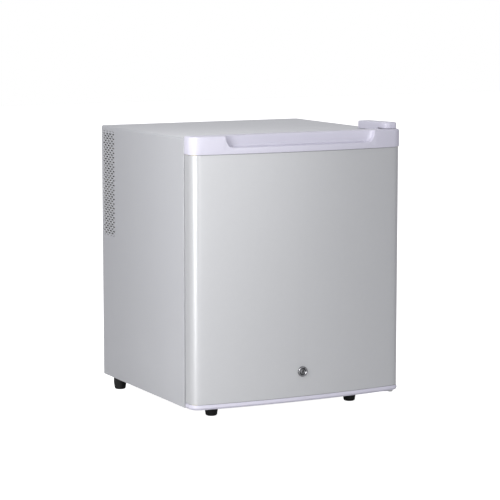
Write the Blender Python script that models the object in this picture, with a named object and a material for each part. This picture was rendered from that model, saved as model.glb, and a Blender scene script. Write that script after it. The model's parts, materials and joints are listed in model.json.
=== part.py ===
# Minibar fridge, free-standing, with one bowed steel door hinged on its right.
# Metres, +Z up, front towards -Y. The origin is on the floor, under the middle of the outline.

import math

import bmesh
import bpy
from mathutils import Matrix, Vector

# Cabinet
CABINET_WIDTH = 0.400
CABINET_DEPTH = 0.342
CABINET_HEIGHT = 0.453
SHEET = 0.0012  # steel of the outer panels
CORNER_R = 0.006  # long top edges of the cabinet
CORNER_STEPS = 5
FRAME_T = 0.0015  # steel frame that the door seals on
FRAME_W = 0.018
FRAME_ROUND = 0.0009
REAR_RETURN = 0.010  # inward fold at the back of each side panel
REAR_INSET = 0.0022  # rear cover sits this far inside the back edge

# Clearances
GAP = 0.0003  # between pieces that touch or are fixed to each other
DOOR_GAP = 0.005  # door to cabinet, filled by the gasket
SEAM = 0.0008  # door skin to its end caps

# Door
DOOR_WIDTH = 0.400
DOOR_EDGE = 0.0278  # thickness at the door's sides
DOOR_BOW = 0.0129  # how far the middle of the front stands forward of the sides
DOOR_CORNER_R = 0.0153
DOOR_STEPS = 20
DOOR_SILL = 0.0008  # underside of the door above the underside of the cabinet
DOOR_TOP = 0.4571  # top of the door above the underside of the cabinet
SKIN_T = 0.0008
CAP_PROUD = 0.0015  # end caps stand this far outside the steel
CAP_WALL = 0.002
TOP_CAP_H = 0.0303
TOP_CAP_ROUND = 0.0035
CAP_LIP = 0.0008
BOTTOM_CAP_H = 0.0086
BOTTOM_CAP_ROUND = 0.005
DOOR_LINER_T = 0.002

# Handle recess in the top cap, open to the front and the top
RECESS_END = 0.0585  # solid cap left beyond each end of the recess
RECESS_END_R = 0.012  # width of the curve that closes each end
RECESS_DEEP = 0.0196
RECESS_BACK = 0.003  # back wall behind the door's edge plane
RECESS_ROUND = 0.006

# Raised frame on the back of the door, which carries the bins
DYKE_SIDE = 0.013  # clear of the cavity's side walls
DYKE_BELOW = 0.036  # clear of the cavity's floor
DYKE_ABOVE = 0.010  # clear of the cavity's ceiling
DYKE_BAR = 0.016
DYKE_DEEP = 0.020
DYKE_WALL = 0.002
DYKE_ROUND = 0.003

# Door bins
BIN_SIDE = 0.006  # clear of the raised frame at each side
BIN_RIM = 0.0045
BIN_RIM_T = 0.003
BIN_DEEP = 0.088
BIN_WALL = 0.002
BIN_R = 0.010
BIN_LEVELS = {"door_bin_lower": (0.088, 0.082), "door_bin_upper": (0.252, 0.066)}
PEG_T = 0.006
PEG_Y = 0.008
PEG_INSET = 0.003
PEG_DEEP = 0.007

# Gasket
GASKET_SIDE = 0.013  # inside the cabinet's sides
GASKET_BELOW = 0.013  # above the cabinet's underside
GASKET_ABOVE = 0.012  # below the cabinet's top
GASKET_BAR = 0.015
GASKET_ROUND = 0.0012

# Hinges
PIN_INSET = 0.009  # pin axis inside the steel's right side
PIN_BACK = 0.015  # pin axis behind the door's edge plane
PIN_R = 0.0025
PIN_HEAD_R = 0.004
PIN_HEAD_T = 0.0015
BUSH_R = 0.0045
BUSH_TALL_TOP = 0.012
BUSH_TALL_BOTTOM = 0.0072
PIN_DEEP_TOP = 0.010
PIN_DEEP_BOTTOM = 0.0062
HINGE_T = 0.0025
HINGE_W = 0.0209
HINGE_BACK_TOP = 0.098
HINGE_BACK_BOTTOM = 0.078
HINGE_LIFT = 0.0008  # top plate above the door
WASHER_T = 0.0005
HINGE_SCREW_R = 0.0035
HINGE_SCREW_T = 0.0018
HINGE_SCREW_SHANK = 0.0018
HINGE_SCREW_PITCH = 0.024

# Hinge cover
COVER_CLEAR = 0.0004  # inside of the cover to the hinge plate
COVER_BEHIND = 0.006  # room behind the plate
COVER_TALL = 0.0115  # above the door's top at its front
COVER_SLOPE = 0.0022
COVER_WALL = 0.0012
COVER_R = 0.005

# Lock
LOCK_Z = 0.0527
LOCK_FLANGE_R = 0.009
LOCK_FLANGE_T = 0.0032
LOCK_BODY_R = 0.007
LOCK_PLUG_R = 0.0049
LOCK_BEHIND = 0.0107  # barrel beyond the back of the door
LOCK_NUT_R = 0.0093
LOCK_NUT_T = 0.0042
KEY_SLOT_W = 0.0012
KEY_SLOT_H = 0.0064
KEY_SLOT_D = 0.010
CAM_T = 0.0022
CAM_W = 0.009
CAM_REACH = 0.016
CAM_SCREW_R = 0.0032
CAM_SCREW_T = 0.002
STRIKE_T = 0.0012
STRIKE_W = 0.034
STRIKE_TALL = 0.0097
STRIKE_DEEP = 0.018
STRIKE_FRONT = 0.0047  # strike behind the cabinet's front
STRIKE_SCREW_R = 0.0028

# Cavity
WALL_SIDE = 0.035
WALL_BOTTOM = 0.034
WALL_TOP = 0.038
WALL_REAR = 0.035
REAR_BAY = 0.0624
LINER = 0.0012
LINER_R = 0.008
RIB_W = 0.006
RIB_H = 0.005
SHELF_LEVEL = 0.205  # top of the ribs that carry the shelf, above the cabinet's underside
RIB_LEVELS = (0.112, SHELF_LEVEL, 0.268)
SHELF_FRONT = 0.098  # shelf's front edge behind the cabinet's front
SHELF_T = 0.004
SHELF_CLEAR = 0.003
TRIM_T = 0.0015
TRIM_DEEP = 0.012

# Feet
FOOT_HEIGHT = 0.024
FOOT_R = 0.0115
FOOT_TIP_R = 0.0100
FOOT_ROUND = 0.0025
STUD_R = 0.0038
STUD_TALL = 0.017
NUT_R = 0.0075
NUT_TALL = 0.011
FRONT_FOOT_X = 0.0645  # inside the cabinet's side
FRONT_FOOT_Y = 0.0297  # behind the cabinet's front
REAR_FOOT_X = 0.018  # inside the cabinet's side
REAR_FOOT_Y = 0.0318  # before the cabinet's back

# Side vents
VENT_ROWS = 46  # every other row lies half a pitch forward and has one slot less
VENT_COLUMNS = 4
VENT_PITCH_Z = 0.00413
VENT_PITCH_Y = 0.0136
VENT_LONG = 0.0090
VENT_SHORT = 0.0042  # slots of the first and last row
VENT_TALL = 0.0020
VENT_LOW = 0.2575  # lowest row above the cabinet's underside
VENT_BACK = 0.0094  # rearmost column before the cabinet's back

# Rear cover vents
REAR_ROWS = 9
REAR_COLUMNS = 5
REAR_PITCH_X = 0.026
REAR_PITCH_Z = 0.0125
REAR_SLOT_LONG = 0.020
REAR_SLOT_TALL = 0.0045
REAR_COVER_T = 0.0012

# Cooling unit
COOL_Z = 0.330  # its centre above the cabinet's underside
MODULE_SIZE = 0.040
MODULE_T = 0.0038
BLOCK_SIZE = 0.056
COLD_SINK_W = 0.100
COLD_SINK_H = 0.088
COLD_BASE_T = 0.0045
COLD_FIN = 0.016
COLD_FINS = 15
HOT_SINK_W = 0.130
HOT_SINK_H = 0.140
HOT_BASE_T = 0.005
HOT_FIN = 0.024
HOT_FINS = 19
FIN_T = 0.0014
COLD_FAN_SIZE = 0.060
COLD_FAN_T = 0.012
HOT_FAN_SIZE = 0.080
HOT_FAN_T = 0.020
FAN_WALL = 0.002
FAN_TIP = 0.0012  # blade tip to bore
FAN_STEPS = 32
FAN_BLADES = 7
BLADE_T = 0.0016
BLADE_PITCH = 38.0
HUB_SHARE_R = 0.30  # hub radius as a part of the bore's radius
STRUT_T = 0.0025
STRUT_W = 0.004
AIR_COVER_W = 0.124
AIR_COVER_H = 0.112
AIR_COVER_T = 0.0015
AIR_COVER_ROUND = 0.004
GRILLE_ROWS = 6
GRILLE_PITCH = 0.0085
GRILLE_SLOT = 0.0045
GRILLE_LONG = 0.050

# Power supply
BOARD_X = -0.070
BOARD_Z = 0.120
BOARD_W = 0.090
BOARD_H = 0.060
BOARD_T = 0.0016
STANDOFF_R = 0.003
STANDOFF_TALL = 0.006
STANDOFF_INSET = 0.006
TRANSFORMER = (0.032, 0.026, 0.028)
CAPACITOR_R = 0.007
CAPACITOR_TALL = 0.022
INLET_SIDE = 0.080  # inside the cabinet's side
INLET_Z = 0.060
INLET_W = 0.0275
INLET_H = 0.0200
INLET_DEEP = 0.024
INLET_FLANGE = 0.004
INLET_FLANGE_T = 0.0016
SOCKET_W = 0.0240
SOCKET_H = 0.0160
SOCKET_DEEP = 0.017
BLADE_W = 0.004
BLADE_H = 0.002
BLADE_LONG = 0.008
BLADE_SPREAD = 0.007

# Control box under the ceiling
CONTROL_W = 0.100
CONTROL_D = 0.056
CONTROL_H = 0.022
CONTROL_BACK = 0.046  # its back from the cavity's back
CONTROL_ROUND = 0.003
KNOB_R = 0.0092
KNOB_DEEP = 0.011
KNOB_GRIP = 0.0026
KNOB_X = 0.030
KNOB_SHAFT_R = 0.003
KNOB_SHAFT = 0.006
LENS_W = 0.040
LENS_D = 0.034
LENS_T = 0.004
LENS_X = -0.018

# Places that follow from the sizes
HALF = CABINET_WIDTH / 2
DEPTH = DOOR_BOW + max(CAP_PROUD, LOCK_FLANGE_T) + DOOR_EDGE + DOOR_GAP + CABINET_DEPTH
Y_EDGE = max(CAP_PROUD, LOCK_FLANGE_T) + DOOR_BOW - DEPTH / 2
Y_DOOR_BACK = Y_EDGE + DOOR_EDGE
Y_CABINET = Y_DOOR_BACK + DOOR_GAP
Y_BACK = Y_CABINET + CABINET_DEPTH
Y_BAY = Y_BACK - REAR_BAY
Y_CAVITY_BACK = Y_BAY - WALL_REAR
Y_PANEL = Y_CABINET + FRAME_T + GAP
Y_REAR_COVER = Y_BACK - REAR_INSET - REAR_COVER_T
Z_BASE = FOOT_HEIGHT
Z_TOP = Z_BASE + CABINET_HEIGHT
Z_FLOOR = Z_BASE + WALL_BOTTOM
Z_CEILING = Z_TOP - WALL_TOP
Z_DOOR = Z_BASE + DOOR_SILL
Z_DOOR_TOP = Z_BASE + DOOR_TOP
Z_CAP_LOW = Z_DOOR + BOTTOM_CAP_H
Z_CAP_HIGH = Z_DOOR_TOP - TOP_CAP_H
CAVITY_HALF = HALF - WALL_SIDE
DOOR_HALF = DOOR_WIDTH / 2
RECESS_HALF = DOOR_HALF - RECESS_END
RECESS_FLOOR_HALF = RECESS_HALF - RECESS_END_R
DYKE_HALF = CAVITY_HALF - DYKE_SIDE
Z_DYKE_LOW = Z_FLOOR + DYKE_BELOW
Z_DYKE_HIGH = Z_CEILING - DYKE_ABOVE
BIN_HALF = DYKE_HALF - DYKE_BAR - BIN_SIDE
GASKET_HALF = HALF - GASKET_SIDE
INLET_X = HALF - INLET_SIDE
PIN_X = DOOR_HALF - PIN_INSET
PIN_Y = Y_EDGE + PIN_BACK
Z_LOCK = Z_BASE + LOCK_Z
Y_LOCK_FRONT = Y_EDGE - DOOR_BOW
Y_LOCK_END = Y_DOOR_BACK + LOCK_BEHIND
Z_COOL = Z_BASE + COOL_Z
ROUND = 28
ARC = 0.5  # a bevel of this profile is an arc of a circle


# Helpers


def clear_scene():
    for obj in list(bpy.data.objects):
        bpy.data.objects.remove(obj, do_unlink=True)


def finish_material(name, colour, roughness, metallic=0.0, alpha=1.0):
    material = bpy.data.materials.new(name)
    material.use_nodes = True
    shader = material.node_tree.nodes["Principled BSDF"]
    shader.inputs["Base Color"].default_value = (*colour, 1.0)
    shader.inputs["Roughness"].default_value = roughness
    shader.inputs["Metallic"].default_value = metallic
    shader.inputs["Alpha"].default_value = alpha
    return material


def to_object(name, bm, smooth=False):
    bmesh.ops.recalc_face_normals(bm, faces=bm.faces)
    mesh = bpy.data.meshes.new(name)
    bm.to_mesh(mesh)
    bm.free()
    if smooth:
        mesh.shade_smooth()
        mesh.set_sharp_from_angle(angle=math.radians(35))
    obj = bpy.data.objects.new(name, mesh)
    bpy.context.scene.collection.objects.link(obj)
    return obj


# A point of an outline, put at a height along the axis that the outline is drawn out on
def spot(axis, a, b, height):
    if axis == "Z":
        return (a, b, height)
    if axis == "Y":
        return (a, height, b)
    return (height, a, b)


def prism(name, outline, axis, low, high, smooth=False):
    bm = bmesh.new()
    first = [bm.verts.new(spot(axis, a, b, low)) for a, b in outline]
    last = [bm.verts.new(spot(axis, a, b, high)) for a, b in outline]
    bm.faces.new(first)
    bm.faces.new(last)
    for i in range(len(outline)):
        j = (i + 1) % len(outline)
        bm.faces.new((first[i], first[j], last[j], last[i]))
    return to_object(name, bm, smooth)


def box(name, xs, ys, zs, bevel=0.0, steps=2):
    bm = bmesh.new()
    bmesh.ops.create_cube(bm, size=1.0)
    centre = Vector((sum(xs) / 2, sum(ys) / 2, sum(zs) / 2))
    size = Vector((xs[1] - xs[0], ys[1] - ys[0], zs[1] - zs[0]))
    for vert in bm.verts:
        vert.co = Vector([c * s for c, s in zip(vert.co, size)]) + centre
    if bevel:
        bmesh.ops.bevel(
            bm, geom=list(bm.edges), offset=bevel, segments=steps, profile=ARC, affect="EDGES"
        )
    return to_object(name, bm, bool(bevel))


# Boxes that don't touch, in one mesh, used as one cutter
def boxes(name, sizes):
    bm = bmesh.new()
    for xs, ys, zs in sizes:
        made = bmesh.ops.create_cube(bm, size=1.0)["verts"]
        for vert in made:
            vert.co.x = xs[0] if vert.co.x < 0 else xs[1]
            vert.co.y = ys[0] if vert.co.y < 0 else ys[1]
            vert.co.z = zs[0] if vert.co.z < 0 else zs[1]
    return to_object(name, bm)


def arc(ca, cb, ra, rb, start, end, steps):
    points = []
    for i in range(steps + 1):
        angle = math.radians(start + (end - start) * i / steps)
        points.append((ca + ra * math.cos(angle), cb + rb * math.sin(angle)))
    return points


def circle(ca, cb, radius, steps=ROUND):
    return arc(ca, cb, radius, radius, 0, 360 - 360 / steps, steps - 1)


def round_rect(a0, a1, b0, b1, radius, steps=4):
    return (
        arc(a1 - radius, b0 + radius, radius, radius, -90, 0, steps)
        + arc(a1 - radius, b1 - radius, radius, radius, 0, 90, steps)
        + arc(a0 + radius, b1 - radius, radius, radius, 90, 180, steps)
        + arc(a0 + radius, b0 + radius, radius, radius, 180, 270, steps)
    )


def rod(name, axis, centre, radius, low, high, steps=ROUND):
    return prism(name, circle(centre[0], centre[1], radius, steps), axis, low, high, True)


# A body turned about +Z: its profile runs from the axis at the bottom to the axis at the top
def turned(name, profile, centre, steps=ROUND):
    bm = bmesh.new()
    rings = []
    for radius, height in profile:
        if radius == 0:
            rings.append([bm.verts.new((centre[0], centre[1], height))])
            continue
        ring = []
        for a, b in circle(centre[0], centre[1], radius, steps):
            ring.append(bm.verts.new((a, b, height)))
        rings.append(ring)
    for lower, upper in zip(rings, rings[1:]):
        for i in range(steps):
            j = (i + 1) % steps
            face = [lower[i % len(lower)], lower[j % len(lower)]]
            face += [upper[j % len(upper)], upper[i % len(upper)]]
            bm.faces.new(list(dict.fromkeys(face)))
    return to_object(name, bm, True)


def boolean(obj, other, operation="DIFFERENCE", keep=False):
    step = obj.modifiers.new("step", "BOOLEAN")
    step.operation = operation
    step.solver = "EXACT"
    step.object = other
    graph = bpy.context.evaluated_depsgraph_get()
    mesh = bpy.data.meshes.new_from_object(obj.evaluated_get(graph))
    obj.modifiers.remove(step)
    obj.data = mesh
    if not keep:
        bpy.data.objects.remove(other, do_unlink=True)
    return obj


def cut(obj, *cutters):
    for cutter in cutters:
        boolean(obj, cutter)
    return obj


def join(obj, *others):
    for other in others:
        boolean(obj, other, "UNION")
    return obj


# Rounds the edges whose two ends both pass the test
def round_edges(obj, width, steps, test):
    bm = bmesh.new()
    bm.from_mesh(obj.data)
    edges = [edge for edge in bm.edges if all(test(vert.co) for vert in edge.verts)]
    bmesh.ops.bevel(bm, geom=edges, offset=width, segments=steps, profile=ARC, affect="EDGES")
    bmesh.ops.recalc_face_normals(bm, faces=bm.faces)
    bm.to_mesh(obj.data)
    bm.free()
    obj.data.shade_smooth()
    obj.data.set_sharp_from_angle(angle=math.radians(35))
    return obj


def dress(obj, material, origin=(0, 0, 0), parent=None):
    obj.data.materials.clear()
    obj.data.materials.append(material)
    obj.data.transform(Matrix.Translation(-Vector(origin)))
    obj.location = origin
    if parent:
        obj.parent = parent
        obj.matrix_parent_inverse = Matrix.Translation(-parent.location)
    return obj


def pivot(name, place):
    empty = bpy.data.objects.new(name, None)
    empty.location = place
    empty.empty_display_size = 0.03
    bpy.context.scene.collection.objects.link(empty)
    return empty


# Outlines


# The door's plan. The offset is inwards, so a negative one stands outside the steel.
def front_at(x, offset=0.0):
    return Y_EDGE - DOOR_BOW * (1 - (x / DOOR_HALF) ** 2) + offset


def door_edge(offset=0.0):
    side = DOOR_HALF - offset
    radius = DOOR_CORNER_R - offset
    touch = side - radius
    for _ in range(12):
        slope = 2 * DOOR_BOW * touch / DOOR_HALF**2
        stretch = math.sqrt(1 + slope**2)
        touch = side - radius + radius * slope / stretch
    centre_y = front_at(touch, offset) + radius / stretch
    start = math.degrees(math.atan2(-1, slope))
    right = arc(side - radius, centre_y, radius, radius, start, 0, 7)
    left = [(-x, y) for x, y in reversed(right)]
    front = []
    for i in range(1, DOOR_STEPS):
        x = -touch + 2 * touch * i / DOOR_STEPS
        front.append((x, front_at(x, offset)))
    return left + front + right


def door_plan(offset, back):
    side = DOOR_HALF - offset
    return [(-side, back), *door_edge(offset), (side, back)]


def side_profile(sign):
    inner = CORNER_R - SHEET
    outline = [(HALF, Z_BASE)]
    outline += arc(HALF - CORNER_R, Z_TOP - CORNER_R, CORNER_R, CORNER_R, 0, 90, CORNER_STEPS)
    outline += arc(HALF - CORNER_R, Z_TOP - CORNER_R, inner, inner, 90, 0, CORNER_STEPS)
    outline += [(HALF - SHEET, Z_BASE)]
    return [(sign * x, z) for x, z in outline]


# Cabinet


def side_vents(sign):
    sizes = []
    xs = sorted((sign * (HALF + SHEET), sign * (HALF - 2 * SHEET)))
    for row in range(VENT_ROWS):
        z = Z_BASE + VENT_LOW + row * VENT_PITCH_Z
        at_end = row in (0, VENT_ROWS - 1)
        shifted = row % 2 if not at_end else 0
        long = VENT_SHORT if at_end else VENT_LONG
        for column in range(VENT_COLUMNS - shifted):
            y = Y_BACK - VENT_BACK - (column + shifted / 2) * VENT_PITCH_Y
            sizes.append((xs, (y - long / 2, y + long / 2), (z - VENT_TALL / 2, z + VENT_TALL / 2)))
    return boxes("vents", sizes)


def side_panel(name, sign, steel):
    panel = prism(name, side_profile(sign), "Y", Y_PANEL, Y_BACK, True)
    fold_y = Y_REAR_COVER - GAP
    xs = sorted((sign * (HALF - SHEET / 2), sign * (HALF - REAR_RETURN)))
    zs = (Z_BASE + SHEET + GAP, Z_TOP - CORNER_R)
    join(panel, box("fold", xs, (fold_y - SHEET, fold_y), zs))
    cut(panel, side_vents(sign))
    return dress(panel, steel)


def top_panel(steel):
    half = HALF - CORNER_R - GAP
    return dress(box("top_panel", (-half, half), (Y_PANEL, Y_BACK), (Z_TOP - SHEET, Z_TOP)), steel)


def foot_places():
    front = Y_CABINET + FRONT_FOOT_Y
    rear = Y_BACK - REAR_FOOT_Y
    return {
        "foot_front_left": (FRONT_FOOT_X - HALF, front),
        "foot_front_right": (HALF - FRONT_FOOT_X, front),
        "foot_rear_left": (REAR_FOOT_X - HALF, rear),
        "foot_rear_right": (HALF - REAR_FOOT_X, rear),
    }


def base_pan(steel):
    half = HALF - SHEET - GAP
    pan = box("base_pan", (-half, half), (Y_PANEL, Y_BACK), (Z_BASE, Z_BASE + SHEET))
    nut_top = Z_BASE + SHEET + NUT_TALL
    for x, y in foot_places().values():
        join(pan, rod("weld_nut", "Z", (x, y), NUT_R, Z_BASE + SHEET / 2, nut_top, 24))
        cut(pan, rod("hole", "Z", (x, y), STUD_R + GAP, Z_BASE - SHEET, nut_top + GAP, 24))
    return dress(pan, steel)


def front_frame(steel):
    outline = [(-HALF, Z_BASE), (HALF, Z_BASE)]
    outline += arc(HALF - CORNER_R, Z_TOP - CORNER_R, CORNER_R, CORNER_R, 0, 90, CORNER_STEPS)
    outline += arc(CORNER_R - HALF, Z_TOP - CORNER_R, CORNER_R, CORNER_R, 90, 180, CORNER_STEPS)
    frame = prism("front_frame", outline, "Y", Y_CABINET, Y_CABINET + FRAME_T)
    round_edges(frame, FRAME_ROUND, 2, lambda co: co.y < Y_CABINET + FRAME_T / 2)
    half = HALF - FRAME_W
    zs = (Z_BASE + FRAME_W, Z_TOP - FRAME_W)
    cut(frame, box("mouth", (-half, half), (Y_CABINET - FRAME_T, Y_PANEL + FRAME_T), zs))
    return dress(frame, steel)


def rear_cover(steel):
    half = HALF - SHEET - GAP
    ys = (Y_REAR_COVER, Y_REAR_COVER + REAR_COVER_T)
    zs = (Z_BASE + SHEET + GAP, Z_TOP - SHEET - GAP)
    outline = round_rect(-half, half, zs[0], zs[1], CORNER_R)
    cover = prism("rear_cover", outline, "Y", *ys)
    sizes = []
    for row in range(REAR_ROWS):
        z = Z_COOL + (row - (REAR_ROWS - 1) / 2) * REAR_PITCH_Z
        for column in range(REAR_COLUMNS):
            x = (column - (REAR_COLUMNS - 1) / 2) * REAR_PITCH_X
            xs = (x - REAR_SLOT_LONG / 2, x + REAR_SLOT_LONG / 2)
            slot_zs = (z - REAR_SLOT_TALL / 2, z + REAR_SLOT_TALL / 2)
            sizes.append((xs, (ys[0] - SHEET, ys[1] + SHEET), slot_zs))
    inlet_w = INLET_W / 2 + GAP
    inlet_h = INLET_H / 2 + GAP
    inlet_z = Z_BASE + INLET_Z
    xs = (INLET_X - inlet_w, INLET_X + inlet_w)
    sizes.append((xs, (ys[0] - SHEET, ys[1] + SHEET), (inlet_z - inlet_h, inlet_z + inlet_h)))
    cut(cover, boxes("slots", sizes))
    return dress(cover, steel)


def foam_insulation(foam):
    half = HALF - SHEET - GAP
    zs = (Z_BASE + SHEET + GAP, Z_TOP - SHEET - GAP)
    body = box("foam_insulation", (-half, half), (Y_PANEL, Y_BAY), zs)
    round_edges(body, CORNER_R, 3, lambda co: co.z > Z_CEILING and abs(co.x) > CAVITY_HALF)
    room = LINER + GAP
    outline = round_rect(
        -CAVITY_HALF - room, CAVITY_HALF + room, Z_FLOOR - room, Z_CEILING + room, LINER_R + room
    )
    cut(body, prism("cavity", outline, "Y", Y_PANEL - room, Y_CAVITY_BACK + room))
    hole = BLOCK_SIZE / 2 + GAP
    ys = (Y_CAVITY_BACK - room, Y_BAY + room)
    cut(body, box("window", (-hole, hole), ys, (Z_COOL - hole, Z_COOL + hole)))
    top = Z_BASE + SHEET + STUD_TALL + 4 * GAP
    for x, y in foot_places().values():
        if y + NUT_R + GAP < Y_BAY:
            cut(body, rod("pocket", "Z", (x, y), NUT_R + GAP, Z_BASE, top, 24))
    return dress(body, foam)


def inner_liner(plastic):
    flange = HALF - FRAME_W - GAP
    flange_zs = (Z_BASE + FRAME_W + GAP, Z_TOP - FRAME_W - GAP)
    liner = box("inner_liner", (-flange, flange), (Y_CABINET, Y_CABINET + LINER), flange_zs)
    outer = round_rect(
        -CAVITY_HALF - LINER,
        CAVITY_HALF + LINER,
        Z_FLOOR - LINER,
        Z_CEILING + LINER,
        LINER_R + LINER,
    )
    join(liner, prism("tub", outer, "Y", Y_CABINET + LINER / 2, Y_CAVITY_BACK + LINER))
    inner = round_rect(-CAVITY_HALF, CAVITY_HALF, Z_FLOOR, Z_CEILING, LINER_R)
    cut(liner, prism("room", inner, "Y", Y_CABINET - LINER, Y_CAVITY_BACK))
    hole = BLOCK_SIZE / 2 + GAP
    ys = (Y_CAVITY_BACK - LINER, Y_CAVITY_BACK + 2 * LINER)
    cut(liner, box("window", (-hole, hole), ys, (Z_COOL - hole, Z_COOL + hole)))
    rib_ys = (Y_CABINET + SHELF_FRONT - SHELF_CLEAR, Y_CAVITY_BACK - SHELF_CLEAR)
    for level in RIB_LEVELS:
        for sign in (-1, 1):
            xs = sorted((sign * (CAVITY_HALF - RIB_W), sign * (CAVITY_HALF + LINER / 2)))
            join(liner, box("rib", xs, rib_ys, (Z_BASE + level - RIB_H, Z_BASE + level)))
    return dress(liner, plastic)


def feet(rubber):
    for name, (x, y) in foot_places().items():
        profile = [
            (0, 0),
            (FOOT_TIP_R - FOOT_ROUND, 0),
            (FOOT_TIP_R - FOOT_ROUND * 0.3, FOOT_ROUND * 0.3),
            (FOOT_TIP_R, FOOT_ROUND),
            (FOOT_R, FOOT_HEIGHT * 0.55),
            (FOOT_R, FOOT_HEIGHT - GAP),
            (STUD_R, FOOT_HEIGHT - GAP),
            (STUD_R, Z_BASE + STUD_TALL),
            (0, Z_BASE + STUD_TALL),
        ]
        dress(turned(name, profile, (x, y), 24), rubber, (x, y, FOOT_HEIGHT))


# Hinges


def hinge_plate_outline(back):
    radius = BUSH_R
    left = PIN_X + radius - HINGE_W
    rear = Y_EDGE + back
    outline = arc(PIN_X, PIN_Y, radius, radius, -90, 0, 6)
    outline += [(PIN_X + radius, rear), (left, rear)]
    outline += arc(left + radius, PIN_Y + radius, radius, 2 * radius, 180, 270, 6)
    return outline


def hinge_screws(name, back, low, high, head_low, head_high, steel):
    x = PIN_X + BUSH_R - HINGE_W / 2
    for step, place in enumerate(("rear", "front")):
        y = Y_EDGE + back - HINGE_SCREW_PITCH / 2 - step * HINGE_SCREW_PITCH
        screw = rod(f"{name}_{place}", "Z", (x, y), HINGE_SCREW_R, head_low, head_high, 20)
        join(screw, rod("shank", "Z", (x, y), HINGE_SCREW_SHANK, low, high, 20))
        dress(screw, steel)


def cut_screw_holes(obj, back, low, high):
    x = PIN_X + BUSH_R - HINGE_W / 2
    for step in range(2):
        y = Y_EDGE + back - HINGE_SCREW_PITCH / 2 - step * HINGE_SCREW_PITCH
        cut(obj, rod("hole", "Z", (x, y), HINGE_SCREW_SHANK + GAP, low, high, 20))


def top_hinge(steel, cover_plastic):
    low = Z_DOOR_TOP + HINGE_LIFT
    high = low + HINGE_T
    plate = prism("hinge_plate_top", hinge_plate_outline(HINGE_BACK_TOP), "Z", low, high, True)
    left = PIN_X + BUSH_R - HINGE_W
    xs = (left + GAP, PIN_X + BUSH_R - GAP)
    seat = box("seat", xs, (Y_PANEL, Y_EDGE + HINGE_BACK_TOP - GAP), (Z_TOP + GAP, low + GAP))
    join(plate, seat)
    cut(plate, rod("eye", "Z", (PIN_X, PIN_Y), PIN_R + GAP, low - GAP, high + GAP))
    cut_screw_holes(plate, HINGE_BACK_TOP, Z_TOP, high + GAP)
    dress(plate, steel)
    head = high + GAP
    profile = [
        (0, Z_DOOR_TOP - PIN_DEEP_TOP),
        (PIN_R, Z_DOOR_TOP - PIN_DEEP_TOP),
        (PIN_R, head),
        (PIN_HEAD_R, head),
        (PIN_HEAD_R, head + PIN_HEAD_T),
        (0, head + PIN_HEAD_T),
    ]
    dress(turned("hinge_pin_top", profile, (PIN_X, PIN_Y)), steel, (PIN_X, PIN_Y, Z_DOOR_TOP))
    screw_top = head + HINGE_SCREW_T
    hinge_screws("hinge_screw_top", HINGE_BACK_TOP, Z_TOP + GAP, head + GAP, head, screw_top, steel)
    hinge_cover(cover_plastic)


def hinge_cover(plastic):
    margin = COVER_CLEAR + COVER_WALL
    x1 = PIN_X + BUSH_R + margin
    x0 = PIN_X + BUSH_R - HINGE_W - margin
    y0 = PIN_Y - BUSH_R - margin
    y1 = Y_EDGE + HINGE_BACK_TOP + COVER_BEHIND + COVER_WALL
    top = Z_DOOR_TOP + COVER_TALL
    low = Z_TOP + GAP
    outer = round_rect(x0, x1, y0, y1, COVER_R, 5)
    cover = prism("hinge_cover", outer, "Z", low, top, True)
    slope(cover, y0, y1, top)
    round_edges(cover, COVER_WALL, 3, lambda co: co.z > top - COVER_SLOPE - GAP)
    wall = COVER_WALL
    inner = round_rect(x0 + wall, x1 - wall, y0 + wall, y1 - wall, COVER_R - wall, 5)
    room = prism("room", inner, "Z", low - wall, top - wall)
    slope(room, y0, y1, top - wall)
    over_door = Y_PANEL
    door_zs = (low - wall, Z_DOOR_TOP + HINGE_LIFT)
    cut(cover, room, box("step", (x0 - wall, x1 + wall), (y0 - wall, over_door), door_zs))
    return dress(cover, plastic)


def slope(obj, front, back, top):
    for vert in obj.data.vertices:
        if vert.co.z > top - GAP:
            vert.co.z -= COVER_SLOPE * (vert.co.y - front) / (back - front)


def bottom_hinge(steel, nylon):
    high = Z_BASE - GAP
    low = high - HINGE_T
    outline = hinge_plate_outline(HINGE_BACK_BOTTOM)
    plate = prism("hinge_plate_bottom", outline, "Z", low, high, True)
    cut(plate, rod("eye", "Z", (PIN_X, PIN_Y), PIN_R + GAP, low - GAP, high + GAP))
    cut_screw_holes(plate, HINGE_BACK_BOTTOM, low - GAP, high + GAP)
    dress(plate, steel)
    profile = [
        (0, low - GAP - PIN_HEAD_T),
        (PIN_HEAD_R, low - GAP - PIN_HEAD_T),
        (PIN_HEAD_R, low - GAP),
        (PIN_R, low - GAP),
        (PIN_R, Z_DOOR + PIN_DEEP_BOTTOM),
        (0, Z_DOOR + PIN_DEEP_BOTTOM),
    ]
    dress(turned("hinge_pin_bottom", profile, (PIN_X, PIN_Y)), steel, (PIN_X, PIN_Y, Z_DOOR))
    ring_low = Z_DOOR - (DOOR_SILL + GAP + WASHER_T) / 2
    washer = rod("hinge_washer", "Z", (PIN_X, PIN_Y), BUSH_R, ring_low, ring_low + WASHER_T)
    cut(washer, rod("eye", "Z", (PIN_X, PIN_Y), PIN_R + GAP, ring_low - GAP, Z_DOOR))
    dress(washer, nylon, (PIN_X, PIN_Y, Z_DOOR))
    head = low - GAP
    screw_low = head - HINGE_SCREW_T
    shank = (head - GAP, Z_BASE - GAP)
    hinge_screws("hinge_screw_bottom", HINGE_BACK_BOTTOM, *shank, screw_low, head, steel)


def hinge_bush(name, low, high, nylon, door):
    bush = rod(name, "Z", (PIN_X, PIN_Y), BUSH_R, low, high)
    cut(bush, rod("bore", "Z", (PIN_X, PIN_Y), PIN_R + GAP, low - GAP, high + GAP))
    return dress(bush, nylon, (PIN_X, PIN_Y, low), door)


# Door


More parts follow.
